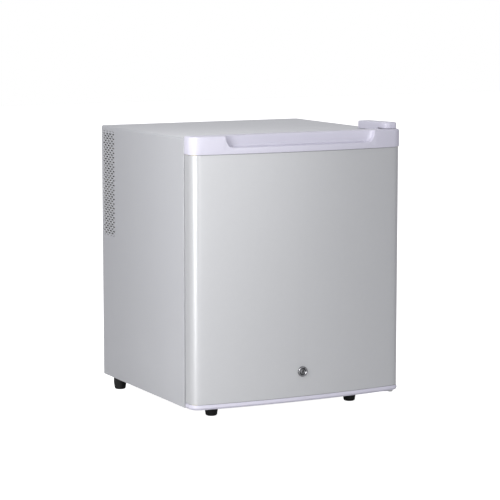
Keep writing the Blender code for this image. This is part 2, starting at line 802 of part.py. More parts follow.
def door_skin(steel, door):
    outline = [(-DOOR_HALF, Y_DOOR_BACK), *door_edge(), (DOOR_HALF, Y_DOOR_BACK)]
    inside = [(-DOOR_HALF + SKIN_T, Y_DOOR_BACK), *door_edge(SKIN_T)]
    inside += [(DOOR_HALF - SKIN_T, Y_DOOR_BACK)]
    outline += list(reversed(inside))
    skin = prism("door_skin", outline, "Z", Z_CAP_LOW + SEAM, Z_CAP_HIGH - SEAM, True)
    reach = (Y_LOCK_FRONT - SKIN_T, Y_LOCK_FRONT + 3 * SKIN_T)
    cut(skin, rod("hole", "Y", (0, Z_LOCK), LOCK_BODY_R + GAP, *reach))
    return dress(skin, steel, (PIN_X, PIN_Y, Z_DOOR), door)


def recess_cutter():
    top = Z_DOOR_TOP + TOP_CAP_ROUND
    outline = [(RECESS_HALF, top)]
    right = arc(RECESS_FLOOR_HALF, Z_DOOR_TOP, RECESS_END_R, RECESS_DEEP, 0, -90, 7)
    outline += right
    outline += [(-x, z) for x, z in reversed(right)]
    outline += [(-RECESS_HALF, top)]
    front = Y_EDGE - DOOR_BOW - 2 * CAP_PROUD
    back = Y_EDGE + RECESS_BACK
    cutter = prism("recess", outline, "Y", front, back)
    round_edges(cutter, RECESS_ROUND, 4, lambda co: co.y > back - GAP and co.z < top - GAP)
    return cutter


def door_top_cap(plastic, door):
    plan = door_plan(-CAP_PROUD, Y_DOOR_BACK)
    cap = prism("door_top_cap", plan, "Z", Z_CAP_HIGH, Z_DOOR_TOP, True)
    round_edges(cap, TOP_CAP_ROUND, 4, lambda co: co.z > Z_DOOR_TOP - GAP)
    round_edges(cap, CAP_LIP, 1, lambda co: co.z < Z_CAP_HIGH + GAP)
    floor = Z_DOOR_TOP - RECESS_DEEP
    pocket = door_plan(CAP_WALL - CAP_PROUD, Y_DOOR_BACK - CAP_WALL)
    cut(cap, prism("pocket", pocket, "Z", Z_CAP_HIGH - SEAM, floor - CAP_WALL))
    behind = (Y_EDGE + RECESS_BACK + CAP_WALL, Y_DOOR_BACK - CAP_WALL - GAP)
    inside = PIN_X - BUSH_R - 2 * CAP_WALL
    room = box(
        "behind", (-inside, inside), behind, (floor - 2 * CAP_WALL, Z_DOOR_TOP - CAP_WALL)
    )
    cut(cap, room, recess_cutter())
    low = Z_DOOR_TOP - BUSH_TALL_TOP - GAP
    cut(cap, rod("seat", "Z", (PIN_X, PIN_Y), BUSH_R + GAP, low, Z_DOOR_TOP + GAP))
    return dress(cap, plastic, (PIN_X, PIN_Y, Z_DOOR), door)


def door_bottom_cap(plastic, door):
    plan = door_plan(-CAP_PROUD, Y_DOOR_BACK)
    cap = prism("door_bottom_cap", plan, "Z", Z_DOOR, Z_CAP_LOW, True)
    round_edges(cap, BOTTOM_CAP_ROUND, 4, lambda co: co.z < Z_DOOR + GAP)
    high = Z_DOOR + BUSH_TALL_BOTTOM + GAP
    cut(cap, rod("seat", "Z", (PIN_X, PIN_Y), BUSH_R + GAP, Z_DOOR - GAP, high))
    return dress(cap, plastic, (PIN_X, PIN_Y, Z_DOOR), door)


def door_foam(foam, door):
    plan = door_plan(SKIN_T + GAP, Y_DOOR_BACK - DOOR_LINER_T - GAP)
    top = Z_DOOR_TOP - RECESS_DEEP - CAP_WALL - GAP
    core = prism("door_foam", plan, "Z", Z_CAP_LOW + GAP, top, True)
    reach = (Y_LOCK_FRONT - SKIN_T, Y_DOOR_BACK)
    cut(core, rod("hole", "Y", (0, Z_LOCK), LOCK_BODY_R + GAP, *reach))
    return dress(core, foam, (PIN_X, PIN_Y, Z_DOOR), door)


def dyke_ring():
    y0 = Y_DOOR_BACK - DOOR_LINER_T / 2
    y1 = Y_DOOR_BACK + DYKE_DEEP
    ring = box("dyke", (-DYKE_HALF, DYKE_HALF), (y0, y1), (Z_DYKE_LOW, Z_DYKE_HIGH))
    inner = DYKE_HALF - DYKE_BAR
    ys = (y0 - DYKE_WALL, y1 + DYKE_WALL)
    cut(ring, box("room", (-inner, inner), ys, (Z_DYKE_LOW + DYKE_BAR, Z_DYKE_HIGH - DYKE_BAR)))
    return round_edges(ring, DYKE_ROUND, 2, lambda co: co.y > y1 - GAP)


def dyke_hollow():
    y0 = Y_DOOR_BACK - 2 * DOOR_LINER_T
    y1 = Y_DOOR_BACK + DYKE_DEEP - DYKE_WALL
    low = Z_DYKE_LOW + DYKE_WALL
    high = Z_DYKE_HIGH - DYKE_WALL
    half = DYKE_HALF - DYKE_WALL
    hollow = box("hollow", (-half, half), (y0, y1), (low, high))
    bar = DYKE_BAR - 2 * DYKE_WALL
    inner = half - bar
    ys = (y0 - DYKE_WALL, y1 + DYKE_WALL)
    return cut(hollow, box("core", (-inner, inner), ys, (low + bar, high - bar)))


def bin_rim_height(name):
    floor, tall = BIN_LEVELS[name]
    return Z_BASE + floor + tall - BIN_RIM_T


def door_liner(plastic, door):
    half = DOOR_HALF - SKIN_T - GAP
    ys = (Y_DOOR_BACK - DOOR_LINER_T, Y_DOOR_BACK)
    zs = (Z_CAP_LOW + SEAM, Z_CAP_HIGH - SEAM)
    liner = box("door_liner", (-half, half), ys, zs)
    join(liner, dyke_ring())
    cut(liner, dyke_hollow())
    inner = DYKE_HALF - DYKE_BAR
    peg_y = Y_DOOR_BACK + PEG_INSET
    for name in BIN_LEVELS:
        top = bin_rim_height(name) - GAP
        for sign in (-1, 1):
            xs = sorted((sign * (BIN_HALF + PEG_INSET / 2), sign * (inner + DYKE_WALL / 2)))
            join(liner, box("peg", xs, (peg_y, peg_y + PEG_DEEP), (top - PEG_T, top)))
    reach = (Y_DOOR_BACK - 2 * DOOR_LINER_T, Y_DOOR_BACK + DOOR_LINER_T)
    cut(liner, rod("hole", "Y", (0, Z_LOCK), LOCK_BODY_R + GAP, *reach))
    return dress(liner, plastic, (PIN_X, PIN_Y, Z_DOOR), door)


def door_gasket(rubber, door):
    ys = (Y_DOOR_BACK + GAP, Y_CABINET - GAP)
    zs = (Z_BASE + GASKET_BELOW, Z_TOP - GASKET_ABOVE)
    ring = box("door_gasket", (-GASKET_HALF, GASKET_HALF), ys, zs)
    inner = GASKET_HALF - GASKET_BAR
    hole_zs = (zs[0] + GASKET_BAR, zs[1] - GASKET_BAR)
    cut(ring, box("room", (-inner, inner), (ys[0] - GAP, ys[1] + GAP), hole_zs))
    round_edges(ring, GASKET_ROUND, 2, lambda co: co.y > ys[1] - GAP)
    return dress(ring, rubber, (PIN_X, PIN_Y, Z_DOOR), door)


def door_bin(name, plastic, parent):
    floor, tall = BIN_LEVELS[name]
    z0 = Z_BASE + floor
    z1 = z0 + tall
    y0 = Y_DOOR_BACK + 2 * GAP
    y1 = y0 + BIN_DEEP
    tray = prism(name, round_rect(-BIN_HALF, BIN_HALF, y0, y1, BIN_R), "Z", z0, z1, True)
    rim = BIN_HALF + BIN_RIM
    rim_plan = round_rect(-rim, rim, y0 + GAP / 2, y1 + BIN_RIM, BIN_R)
    join(tray, prism("rim", rim_plan, "Z", z1 - BIN_RIM_T, z1 + GAP))
    inner = BIN_HALF - BIN_WALL
    plan = round_rect(-inner, inner, y0 + BIN_WALL, y1 - BIN_WALL, BIN_R - BIN_WALL)
    cut(tray, prism("room", plan, "Z", z0 + BIN_WALL, z1 + BIN_WALL))
    return dress(tray, plastic, (0, y0, z0), parent)


# Lock


def lock(chrome, zinc, steel, door, cylinder):
    front = Y_LOCK_FRONT - LOCK_FLANGE_T
    barrel = rod("lock_barrel", "Y", (0, Z_LOCK), LOCK_FLANGE_R, front, Y_LOCK_FRONT - GAP)
    round_edges(barrel, LOCK_FLANGE_T / 3, 2, lambda co: co.y < front + GAP)
    join(barrel, rod("tube", "Y", (0, Z_LOCK), LOCK_BODY_R, front + LOCK_FLANGE_T / 2, Y_LOCK_END))
    cut(
        barrel,
        rod("bore", "Y", (0, Z_LOCK), LOCK_PLUG_R + GAP, front - GAP, Y_LOCK_END + GAP),
    )
    dress(barrel, chrome, (0, Y_LOCK_FRONT, Z_LOCK), door)
    nut_low = Y_DOOR_BACK + GAP
    nut_plan = circle(0, Z_LOCK, LOCK_NUT_R, 6)
    nut = prism("lock_nut", nut_plan, "Y", nut_low, nut_low + LOCK_NUT_T)
    reach = (nut_low - GAP, nut_low + LOCK_NUT_T + GAP)
    cut(nut, rod("bore", "Y", (0, Z_LOCK), LOCK_BODY_R + GAP, *reach))
    dress(nut, zinc, (0, Y_LOCK_FRONT, Z_LOCK), door)
    plug_front = front + GAP
    plug = rod("lock_cylinder", "Y", (0, Z_LOCK), LOCK_PLUG_R, plug_front, Y_LOCK_END + GAP)
    slot_zs = (Z_LOCK - KEY_SLOT_H / 2, Z_LOCK + KEY_SLOT_H / 2)
    slot_xs = (-KEY_SLOT_W / 2, KEY_SLOT_W / 2)
    cut(plug, box("key", slot_xs, (plug_front - GAP, plug_front + KEY_SLOT_D), slot_zs))
    dress(plug, chrome, (0, Y_LOCK_FRONT, Z_LOCK), cylinder)
    cam_low = Y_LOCK_END + 2 * GAP
    half = CAM_W / 2
    outline = arc(0, Z_LOCK, half, half, 90, 270, 10)
    outline += arc(CAM_REACH - half / 2, Z_LOCK, half / 2, half, -90, 90, 8)
    cam = prism("lock_cam", outline, "Y", cam_low, cam_low + CAM_T, True)
    dress(cam, zinc, (0, Y_LOCK_FRONT, Z_LOCK), cylinder)
    screw_low = cam_low + CAM_T + GAP
    screw = rod("lock_cam_screw", "Y", (0, Z_LOCK), CAM_SCREW_R, screw_low, screw_low + CAM_SCREW_T)
    dress(screw, steel, (0, Y_LOCK_FRONT, Z_LOCK), cylinder)


def lock_strike(zinc, steel):
    y0 = Y_CABINET + STRIKE_FRONT
    half = STRIKE_W / 2
    low = Z_FLOOR + GAP
    plate = box("lock_strike", (-half, half), (y0, y0 + STRIKE_DEEP), (low, low + STRIKE_T))
    zs = (low + STRIKE_T / 2, low + STRIKE_TALL)
    join(plate, box("stop", (-half + GAP, half - GAP), (y0 + GAP, y0 + STRIKE_T), zs))
    dress(plate, zinc)
    head_low = low + STRIKE_T + GAP
    y = y0 + STRIKE_DEEP * 0.7
    screw = rod("lock_strike_screw", "Z", (0, y), STRIKE_SCREW_R, head_low, head_low + STRIKE_T, 20)
    dress(screw, steel)


# Cooling unit


# A plate with straight fins, drawn out along Z. The fins stand towards the way of the sign.
def finned_sink(name, width, height, base, fin, count, face, way):
    pitch = (width - FIN_T) / (count - 1)
    outline = [(-width / 2, face), (-width / 2, face + way * (base + fin))]
    for i in range(count):
        x = -width / 2 + i * pitch
        if i:
            outline += [(x, face + way * base), (x, face + way * (base + fin))]
        outline += [(x + FIN_T, face + way * (base + fin))]
        if i < count - 1:
            outline += [(x + FIN_T, face + way * base)]
    outline += [(width / 2, face)]
    return prism(name, outline, "Z", Z_COOL - height / 2, Z_COOL + height / 2)


def fan_frame(name, size, thick, low, hub_far):
    bore = size / 2 - FAN_WALL
    half = size / 2
    corner = FAN_WALL * 2
    frame = prism(
        name, round_rect(-half, half, Z_COOL - half, Z_COOL + half, corner), "Y", low, low + thick
    )
    cut(frame, rod("bore", "Y", (0, Z_COOL), bore, low - GAP, low + thick + GAP, FAN_STEPS))
    y0 = low + thick - STRUT_T if hub_far else low
    hub = rod("hub", "Y", (0, Z_COOL), bore * HUB_SHARE_R, y0, y0 + STRUT_T, FAN_STEPS)
    reach = bore + FAN_WALL / 2
    edge = GAP / 2
    for turn in range(2):
        near = (-reach, reach)
        thin = (-STRUT_W / 2, STRUT_W / 2)
        xs = near if turn == 0 else thin
        zs = thin if turn == 0 else near
        zs = (Z_COOL + zs[0], Z_COOL + zs[1])
        join(hub, box("strut", xs, (y0 + edge, y0 + STRUT_T - edge), zs))
    return join(frame, hub)


def fan_rotor(name, size, low, high):
    bore = size / 2 - FAN_WALL
    hub_r = bore * HUB_SHARE_R
    rotor = rod(name, "Y", (0, Z_COOL), hub_r, low, high, FAN_STEPS)
    tip = bore - FAN_TIP
    thick = (high - low) * 0.9
    chord = thick / math.cos(math.radians(BLADE_PITCH)) * 0.9
    middle = (low + high) / 2
    for i in range(FAN_BLADES):
        blade = box(
            "blade", (hub_r * 0.8, tip), (-chord / 2, chord / 2), (-BLADE_T / 2, BLADE_T / 2)
        )
        lean = Matrix.Rotation(math.radians(BLADE_PITCH), 4, "X")
        turn = Matrix.Rotation(2 * math.pi * i / FAN_BLADES, 4, "Y")
        place = Matrix.Translation((0, middle, Z_COOL))
        blade.data.transform(place @ turn @ lean)
        join(rotor, blade)
    swept = rod("swept", "Y", (0, Z_COOL), tip, low, high, FAN_STEPS)
    return boolean(rotor, swept, "INTERSECT")


def cold_air_cover(plastic, front):
    half_w = AIR_COVER_W / 2
    half_h = AIR_COVER_H / 2
    back = Y_CAVITY_BACK - GAP
    outline = round_rect(-half_w, half_w, Z_COOL - half_h, Z_COOL + half_h, AIR_COVER_ROUND)
    cover = prism("cold_air_cover", outline, "Y", front - AIR_COVER_T, back, True)
    wall = AIR_COVER_T
    inner = round_rect(
        wall - half_w,
        half_w - wall,
        Z_COOL - half_h + wall,
        Z_COOL + half_h - wall,
        AIR_COVER_ROUND - wall,
    )
    cut(cover, prism("room", inner, "Y", front, back + wall))
    sizes = []
    for row in range(GRILLE_ROWS):
        z = Z_COOL + (row - (GRILLE_ROWS - 1) / 2) * GRILLE_PITCH
        zs = (z - GRILLE_SLOT / 2, z + GRILLE_SLOT / 2)
        xs = (-GRILLE_LONG / 2, GRILLE_LONG / 2)
        sizes.append((xs, (front - 2 * wall, front + wall), zs))
    cut(cover, boxes("grille", sizes))
    sizes = []
    for row in range(GRILLE_ROWS):
        z = Z_COOL + (row - (GRILLE_ROWS - 1) / 2) * GRILLE_PITCH
        zs = (z - GRILLE_SLOT / 2, z + GRILLE_SLOT / 2)
        ys = (back - COLD_BASE_T - COLD_FIN, back - COLD_BASE_T - wall)
        sizes.append(((-half_w - wall, half_w + wall), ys, zs))
    cut(cover, boxes("sides", sizes))
    return dress(cover, plastic)


def cooling_unit(aluminium, ceramic, dark, fan_plastic, cover_plastic):
    cold_face = Y_CAVITY_BACK - 2 * GAP
    module_y = Y_BAY - MODULE_T / 2
    half = BLOCK_SIZE / 2
    zs = (Z_COOL - half, Z_COOL + half)
    dress(
        box("cold_block", (-half, half), (cold_face + GAP, module_y - GAP), zs), aluminium
    )
    side = MODULE_SIZE / 2
    module_zs = (Z_COOL - side, Z_COOL + side)
    module = box(
        "thermoelectric_module", (-side, side), (module_y, module_y + MODULE_T), module_zs
    )
    dress(module, ceramic)
    cold = finned_sink(
        "cold_sink", COLD_SINK_W, COLD_SINK_H, COLD_BASE_T, COLD_FIN, COLD_FINS, cold_face, -1
    )
    dress(cold, aluminium)
    hot_face = module_y + MODULE_T + GAP
    hot = finned_sink(
        "hot_heat_sink", HOT_SINK_W, HOT_SINK_H, HOT_BASE_T, HOT_FIN, HOT_FINS, hot_face, 1
    )
    dress(hot, aluminium)
    fins_front = cold_face - COLD_BASE_T - COLD_FIN
    cold_low = fins_front - GAP - COLD_FAN_T
    dress(fan_frame("cold_fan_frame", COLD_FAN_SIZE, COLD_FAN_T, cold_low, True), dark)
    cold_rotor = fan_rotor(
        "cold_fan_rotor", COLD_FAN_SIZE, cold_low + GAP, cold_low + COLD_FAN_T - STRUT_T - GAP
    )
    dress(cold_rotor, fan_plastic, (0, cold_low, Z_COOL))
    cold_air_cover(cover_plastic, cold_low - GAP)
    hot_low = hot_face + HOT_BASE_T + HOT_FIN + GAP
    dress(fan_frame("hot_fan_frame", HOT_FAN_SIZE, HOT_FAN_T, hot_low, False), dark)
    hot_rotor = fan_rotor(
        "hot_fan_rotor", HOT_FAN_SIZE, hot_low + STRUT_T + GAP, hot_low + HOT_FAN_T - GAP
    )
    dress(hot_rotor, fan_plastic, (0, hot_low, Z_COOL))


# Power supply


def power_supply(board_green, copper, dark):
    z0 = Z_BASE + BOARD_Z
    xs = (BOARD_X - BOARD_W / 2, BOARD_X + BOARD_W / 2)
    zs = (z0 - BOARD_H / 2, z0 + BOARD_H / 2)
    post_low = Y_BAY + GAP
    board_low = post_low + STANDOFF_TALL
    board = box("power_board", xs, (board_low, board_low + BOARD_T), zs)
    for x in (xs[0] + STANDOFF_INSET, xs[1] - STANDOFF_INSET):
        for z in (zs[0] + STANDOFF_INSET, zs[1] - STANDOFF_INSET):
            join(board, rod("post", "Y", (x, z), STANDOFF_R, post_low, board_low + GAP, 16))
    dress(board, board_green)
    top = board_low + BOARD_T + GAP
    wide, deep, tall = TRANSFORMER
    x = BOARD_X - BOARD_W / 5
    core = box(
        "transformer",
        (x - wide / 2, x + wide / 2),
        (top, top + deep),
        (z0 - tall / 2, z0 + tall / 2),
        0.002,
    )
    dress(core, copper)
    for i, side in enumerate(("left", "right")):
        can_x = BOARD_X + BOARD_W * 0.18 + i * CAPACITOR_R * 2.6
        place = (can_x, z0)
        can = rod(f"capacitor_{side}", "Y", place, CAPACITOR_R, top, top + CAPACITOR_TALL, 24)
        dress(can, dark)


def power_inlet(dark):
    z = Z_BASE + INLET_Z
    face = Y_REAR_COVER + REAR_COVER_T + GAP
    half_w = INLET_W / 2
    half_h = INLET_H / 2
    low = face - INLET_DEEP
    body = box(
        "power_inlet",
        (INLET_X - half_w, INLET_X + half_w),
        (low, face + INLET_FLANGE_T / 2),
        (z - half_h, z + half_h),
    )
    flange = round_rect(
        INLET_X - half_w - INLET_FLANGE,
        INLET_X + half_w + INLET_FLANGE,
        z - half_h - INLET_FLANGE,
        z + half_h + INLET_FLANGE,
        INLET_FLANGE / 2,
    )
    join(body, prism("flange", flange, "Y", face, face + INLET_FLANGE_T))
    mouth = (
        (INLET_X - SOCKET_W / 2, INLET_X + SOCKET_W / 2),
        (face + INLET_FLANGE_T - SOCKET_DEEP, face + 2 * INLET_FLANGE_T),
        (z - SOCKET_H / 2, z + SOCKET_H / 2),
    )
    cut(body, box("mouth", *mouth))
    floor = mouth[1][0]
    for dx, dz in ((-BLADE_SPREAD, -BLADE_H), (0, BLADE_H), (BLADE_SPREAD, -BLADE_H)):
        xs = (INLET_X + dx - BLADE_H / 2, INLET_X + dx + BLADE_H / 2)
        zs = (z + dz - BLADE_W / 2, z + dz + BLADE_W / 2)
        join(body, box("blade", xs, (floor - GAP, floor + BLADE_LONG), zs))
    return dress(body, dark)


# Inside of the cabinet


def shelf(glass, trim_plastic):
    half = CAVITY_HALF - SHELF_CLEAR
    low = Z_BASE + SHELF_LEVEL + GAP
    y0 = Y_CABINET + SHELF_FRONT
    y1 = Y_CAVITY_BACK - SHELF_CLEAR - TRIM_T - GAP
    dress(box("shelf_glass", (-half, half), (y0, y1), (low, low + SHELF_T)), glass)
    trim_half = CAVITY_HALF - RIB_W - SHELF_CLEAR
    for name, edge, way in (("shelf_front_trim", y0, -1), ("shelf_rear_trim", y1, 1)):
        outer = edge + way * (GAP + TRIM_T)
        inner = edge - way * TRIM_DEEP
        slot = edge + way * GAP
        bottom = low - GAP - TRIM_T
        top = low + SHELF_T + GAP + TRIM_T
        outline = [
            (outer, bottom),
            (inner, bottom),
            (inner, bottom + TRIM_T),
            (slot, bottom + TRIM_T),
            (slot, top - TRIM_T),
            (inner, top - TRIM_T),
            (inner, top),
            (outer, top),
        ]
        dress(prism(name, outline, "X", -trim_half, trim_half), trim_plastic)


def control_box(plastic, knob_plastic, lens_plastic):
    y1 = Y_CAVITY_BACK - CONTROL_BACK
    y0 = y1 - CONTROL_D
    z1 = Z_CEILING - GAP
    z0 = z1 - CONTROL_H
    half = CONTROL_W / 2
    housing = box("control_housing", (-half, half), (y0, y1), (z0, z1), CONTROL_ROUND)
    z = (z0 + z1) / 2
    reach = (y0 - GAP, y0 + KNOB_SHAFT + GAP)
    cut(housing, rod("shaft_hole", "Y", (KNOB_X, z), KNOB_SHAFT_R + GAP, *reach, 24))
    dress(housing, plastic)
    knob = rod("thermostat_knob", "Y", (KNOB_X, z), KNOB_R, y0 - GAP - KNOB_DEEP / 2, y0 - GAP)
    grip = box(
        "grip",
        (KNOB_X - KNOB_GRIP / 2, KNOB_X + KNOB_GRIP / 2),
        (y0 - GAP - KNOB_DEEP, y0 - GAP - KNOB_DEEP / 4),
        (z - KNOB_R * 0.94, z + KNOB_R * 0.94),
    )
    join(knob, grip)
    join(knob, rod("shaft", "Y", (KNOB_X, z), KNOB_SHAFT_R, y0 - 2 * GAP, y0 + KNOB_SHAFT, 24))
    dress(knob, knob_plastic, (KNOB_X, y0, z))
    y = (y0 + y1) / 2
    lens = box(
        "lamp_lens",
        (LENS_X - LENS_W / 2, LENS_X + LENS_W / 2),
        (y - LENS_D / 2, y + LENS_D / 2),
        (z0 - GAP - LENS_T, z0 - GAP),
        LENS_T / 4,
    )
    dress(lens, lens_plastic)


# The whole fridge


def build():
    clear_scene()
    painted = finish_material("painted_silver", (0.56, 0.57, 0.60), 0.42, 0.35)
    steel = finish_material("door_steel", (0.58, 0.59, 0.60), 0.33, 0.9)
    cap = finish_material("pale_plastic", (0.72, 0.71, 0.80), 0.38)
    white = finish_material("white_plastic", (0.86, 0.87, 0.88), 0.42)
    black = finish_material("black_rubber", (0.012, 0.012, 0.013), 0.6)
    grey = finish_material("grey_rubber", (0.32, 0.32, 0.34), 0.65)
    foam = finish_material("foam", (0.80, 0.74, 0.52), 0.9)
    zinc = finish_material("zinc_steel", (0.62, 0.62, 0.60), 0.35, 1.0)
    chrome = finish_material("chrome", (0.80, 0.80, 0.81), 0.10, 1.0)
    nylon = finish_material("nylon", (0.85, 0.84, 0.80), 0.5)
    aluminium = finish_material("aluminium", (0.72, 0.73, 0.74), 0.35, 1.0)
    ceramic = finish_material("ceramic", (0.82, 0.82, 0.80), 0.4)
    dark = finish_material("dark_plastic", (0.03, 0.03, 0.032), 0.45)
    board = finish_material("circuit_board", (0.02, 0.16, 0.07), 0.5)
    copper = finish_material("transformer_wrap", (0.62, 0.48, 0.10), 0.5)
    glass = finish_material("shelf_glass", (0.80, 0.92, 0.90), 0.05, 0.0, 0.35)
    clear = finish_material("lamp_plastic", (0.92, 0.92, 0.90), 0.25)

    side_panel("side_panel_left", -1, painted)
    side_panel("side_panel_right", 1, painted)
    top_panel(painted)
    base_pan(zinc)
    front_frame(painted)
    rear_cover(painted)
    foam_insulation(foam)
    inner_liner(white)
    feet(black)

    door = pivot("door_pivot", (PIN_X, PIN_Y, Z_DOOR))
    top_hinge(zinc, cap)
    bottom_hinge(zinc, nylon)
    low = Z_DOOR_TOP - BUSH_TALL_TOP
    hinge_bush("hinge_bush_top", low, Z_DOOR_TOP, nylon, door)
    hinge_bush("hinge_bush_bottom", Z_DOOR, Z_DOOR + BUSH_TALL_BOTTOM, nylon, door)
    door_skin(steel, door)
    door_top_cap(cap, door)
    door_bottom_cap(cap, door)
    door_foam(foam, door)
    door_liner(white, door)
    door_gasket(grey, door)
    for name in BIN_LEVELS:
        door_bin(name, clear, door)

    cylinder = pivot("lock_pivot", (0, Y_LOCK_FRONT, Z_LOCK))
    cylinder.parent = door
    cylinder.matrix_parent_inverse = Matrix.Translation(-door.location)
    bpy.context.view_layer.update()
    lock(chrome, zinc, zinc, door, cylinder)
    lock_strike(zinc, zinc)

    cooling_unit(aluminium, ceramic, dark, dark, white)
    power_supply(board, copper, dark)
    power_inlet(dark)
    shelf(glass, white)
    control_box(white, cap, clear)


build()
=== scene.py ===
import json
import math

import bmesh
import bpy
from mathutils import Matrix, Vector

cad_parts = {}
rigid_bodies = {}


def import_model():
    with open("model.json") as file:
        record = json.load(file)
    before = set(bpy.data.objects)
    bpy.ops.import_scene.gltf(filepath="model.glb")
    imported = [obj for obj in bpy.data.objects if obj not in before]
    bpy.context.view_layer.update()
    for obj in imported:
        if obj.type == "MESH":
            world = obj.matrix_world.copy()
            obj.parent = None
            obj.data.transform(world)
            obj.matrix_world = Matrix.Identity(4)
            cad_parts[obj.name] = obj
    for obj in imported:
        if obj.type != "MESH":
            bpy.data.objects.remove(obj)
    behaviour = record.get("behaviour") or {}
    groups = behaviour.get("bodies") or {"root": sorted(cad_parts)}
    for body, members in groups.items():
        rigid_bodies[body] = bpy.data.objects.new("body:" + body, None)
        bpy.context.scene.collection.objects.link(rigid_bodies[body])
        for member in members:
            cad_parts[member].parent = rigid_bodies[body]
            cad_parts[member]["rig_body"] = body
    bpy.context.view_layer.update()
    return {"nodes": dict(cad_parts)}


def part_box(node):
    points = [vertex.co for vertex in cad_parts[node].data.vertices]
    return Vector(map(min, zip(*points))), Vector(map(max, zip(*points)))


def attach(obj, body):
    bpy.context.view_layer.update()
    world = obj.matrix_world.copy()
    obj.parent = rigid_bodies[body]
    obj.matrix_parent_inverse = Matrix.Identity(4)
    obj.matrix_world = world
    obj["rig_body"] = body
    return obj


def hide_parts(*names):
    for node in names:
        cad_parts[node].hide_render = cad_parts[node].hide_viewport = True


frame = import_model()
nodes = frame["nodes"]
scene = bpy.context.scene
mm = 0.001
print("frame loaded:", len(nodes), "nodes")


# Node trees

def feed(tree, sockets, values):  # a value is a constant, a socket, or a node's first output
    for key, value in values.items():
        if isinstance(value, bpy.types.Node):
            value = value.outputs[0]
        if isinstance(value, bpy.types.NodeSocket):
            tree.links.new(value, sockets[key])
        else:
            sockets[key].default_value = value
    return tree


def add(tree, kind, inputs=None, **settings):
    node = tree.nodes.new(kind)
    for key, value in settings.items():
        setattr(node, key, value)
    feed(tree, node.inputs, inputs or {})
    return node


def math2(tree, operation, a, b):
    return add(tree, "ShaderNodeMath", {0: a, 1: b}, operation=operation)


def noise(tree, place, scale, detail=2.0, roughness=0.5, distortion=0.0):
    return add(tree, "ShaderNodeTexNoise", {
        "Vector": place, "Scale": scale, "Detail": detail, "Roughness": roughness,
        "Distortion": distortion})


def remap(tree, value, *limits):  # limits: from low, from high, to low, to high
    return add(tree, "ShaderNodeMapRange", dict(enumerate((value, *limits))))


def blend(tree, share, first, second):
    mixed = add(tree, "ShaderNodeMix", {0: share, 6: first, 7: second}, data_type="RGBA")
    return mixed.outputs[2]


socketKinds = {float: "Float", int: "Int", tuple: "Vector"}


def newTree(kind, name, inputs, outputs):  # an input is its default value or its kind of socket
    tree = bpy.data.node_groups.new(name, f"{kind}NodeTree")
    for label, value in inputs.items():
        socketType = "NodeSocket" + socketKinds.get(type(value), value)
        socket = tree.interface.new_socket(label, in_out="INPUT", socket_type=socketType)
        if not isinstance(value, str):
            socket.default_value = value
    socketType = "NodeSocketFloat" if kind == "Shader" else "NodeSocketGeometry"
    for label in outputs:
        tree.interface.new_socket(label, in_out="OUTPUT", socket_type=socketType)
    return tree, tree.nodes.new("NodeGroupInput").outputs, tree.nodes.new("NodeGroupOutput").inputs


def newMaterial(name):
    material = bpy.data.materials.new(name)
    material.use_nodes = True
    tree = material.node_tree
    place = add(tree, "ShaderNodeTexCoord").outputs["Object"]
    return material, tree, tree.nodes["Principled BSDF"].inputs, place


# Mesh tools

def link(name, data):
    obj = bpy.data.objects.new(name, data)
    scene.collection.objects.link(obj)
    return obj


def readMesh(mesh):
    bm = bmesh.new()
    bm.from_mesh(mesh)
    return bm


def writeMesh(bm, obj):
    bm.to_mesh(obj.data)
    bm.free()
    return obj


def weld(bm, distance=1e-6):
    bmesh.ops.remove_doubles(bm, verts=bm.verts, dist=distance)
    bmesh.ops.recalc_face_normals(bm, faces=bm.faces)
    return bm


def toObject(name, bm):
    return writeMesh(weld(bm), link(name, bpy.data.meshes.new(name)))


def discard(*objs):
    for obj in objs:
        bpy.data.objects.remove(obj, do_unlink=True)


def bakeDown(obj):  # modifiers become plain mesh
    graph = bpy.context.evaluated_depsgraph_get()
    mesh = bpy.data.meshes.new_from_object(obj.evaluated_get(graph))
    obj.modifiers.clear()
    obj.data = mesh
    return obj


def grow(name, tree, values, mesh=None):  # runs a geometry tree and keeps its mesh
    obj = link(name, mesh or bpy.data.meshes.new(name))
    modifier = obj.modifiers.new("tree", "NODES")
    modifier.node_group = tree
    for item in tree.interface.items_tree:
        if item.name in values:
            modifier[item.identifier] = values[item.name]
    return bakeDown(obj)


def merge(obj, *others):  # several closed shells in one object
    bm = readMesh(obj.data)
    for other in others:
        bm.from_mesh(other.data)
    discard(*others)
    return writeMesh(bm, obj)


def middle(name, a=0, b=1):  # the centre of a node's box across two axes
    low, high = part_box(name)
    return (low[a] + high[a]) / 2, (low[b] + high[b]) / 2


def raised(axis, loop, height):  # a flat loop set at a height along the axis
    return [(a, height, b) if axis == "Y" else (a, b, height) for a, b in loop]


def inward(sides, d):  # sides: a0, a1, b0, b1
    return sides[0] + d, sides[1] - d, sides[2] + d, sides[3] - d


def quarter(radius, steps=8):  # a rounded edge from its foot: how far in, how far up
    turns = [math.pi / 2 * i / steps for i in range(steps + 1)]
    return [(radius * (1 - math.sin(turn)), radius * (1 - math.cos(turn))) for turn in turns]


def arc(ca, cb, radius, start, end, steps, tall=None):
    points = []
    for i in range(steps + 1):
        angle = math.radians(start + (end - start) * i / steps)
        points.append((ca + radius * math.cos(angle), cb + (tall or radius) * math.sin(angle)))
    return points


def circle(ca, cb, radius, steps=48):
    return arc(ca, cb, radius, 0, 360 - 360 / steps, steps - 1)


def roundRect(a0, a1, b0, b1, radius, steps=8):  # four radii start at the low right corner
    loop = []
    for i, r in enumerate(radius if isinstance(radius, tuple) else (radius,) * 4):
        ca = a1 - r if i < 2 else a0 + r
        cb = b1 - r if i in (1, 2) else b0 + r
        loop += arc(ca, cb, r, 90 * i - 90, 90 * i, steps)
    return loop


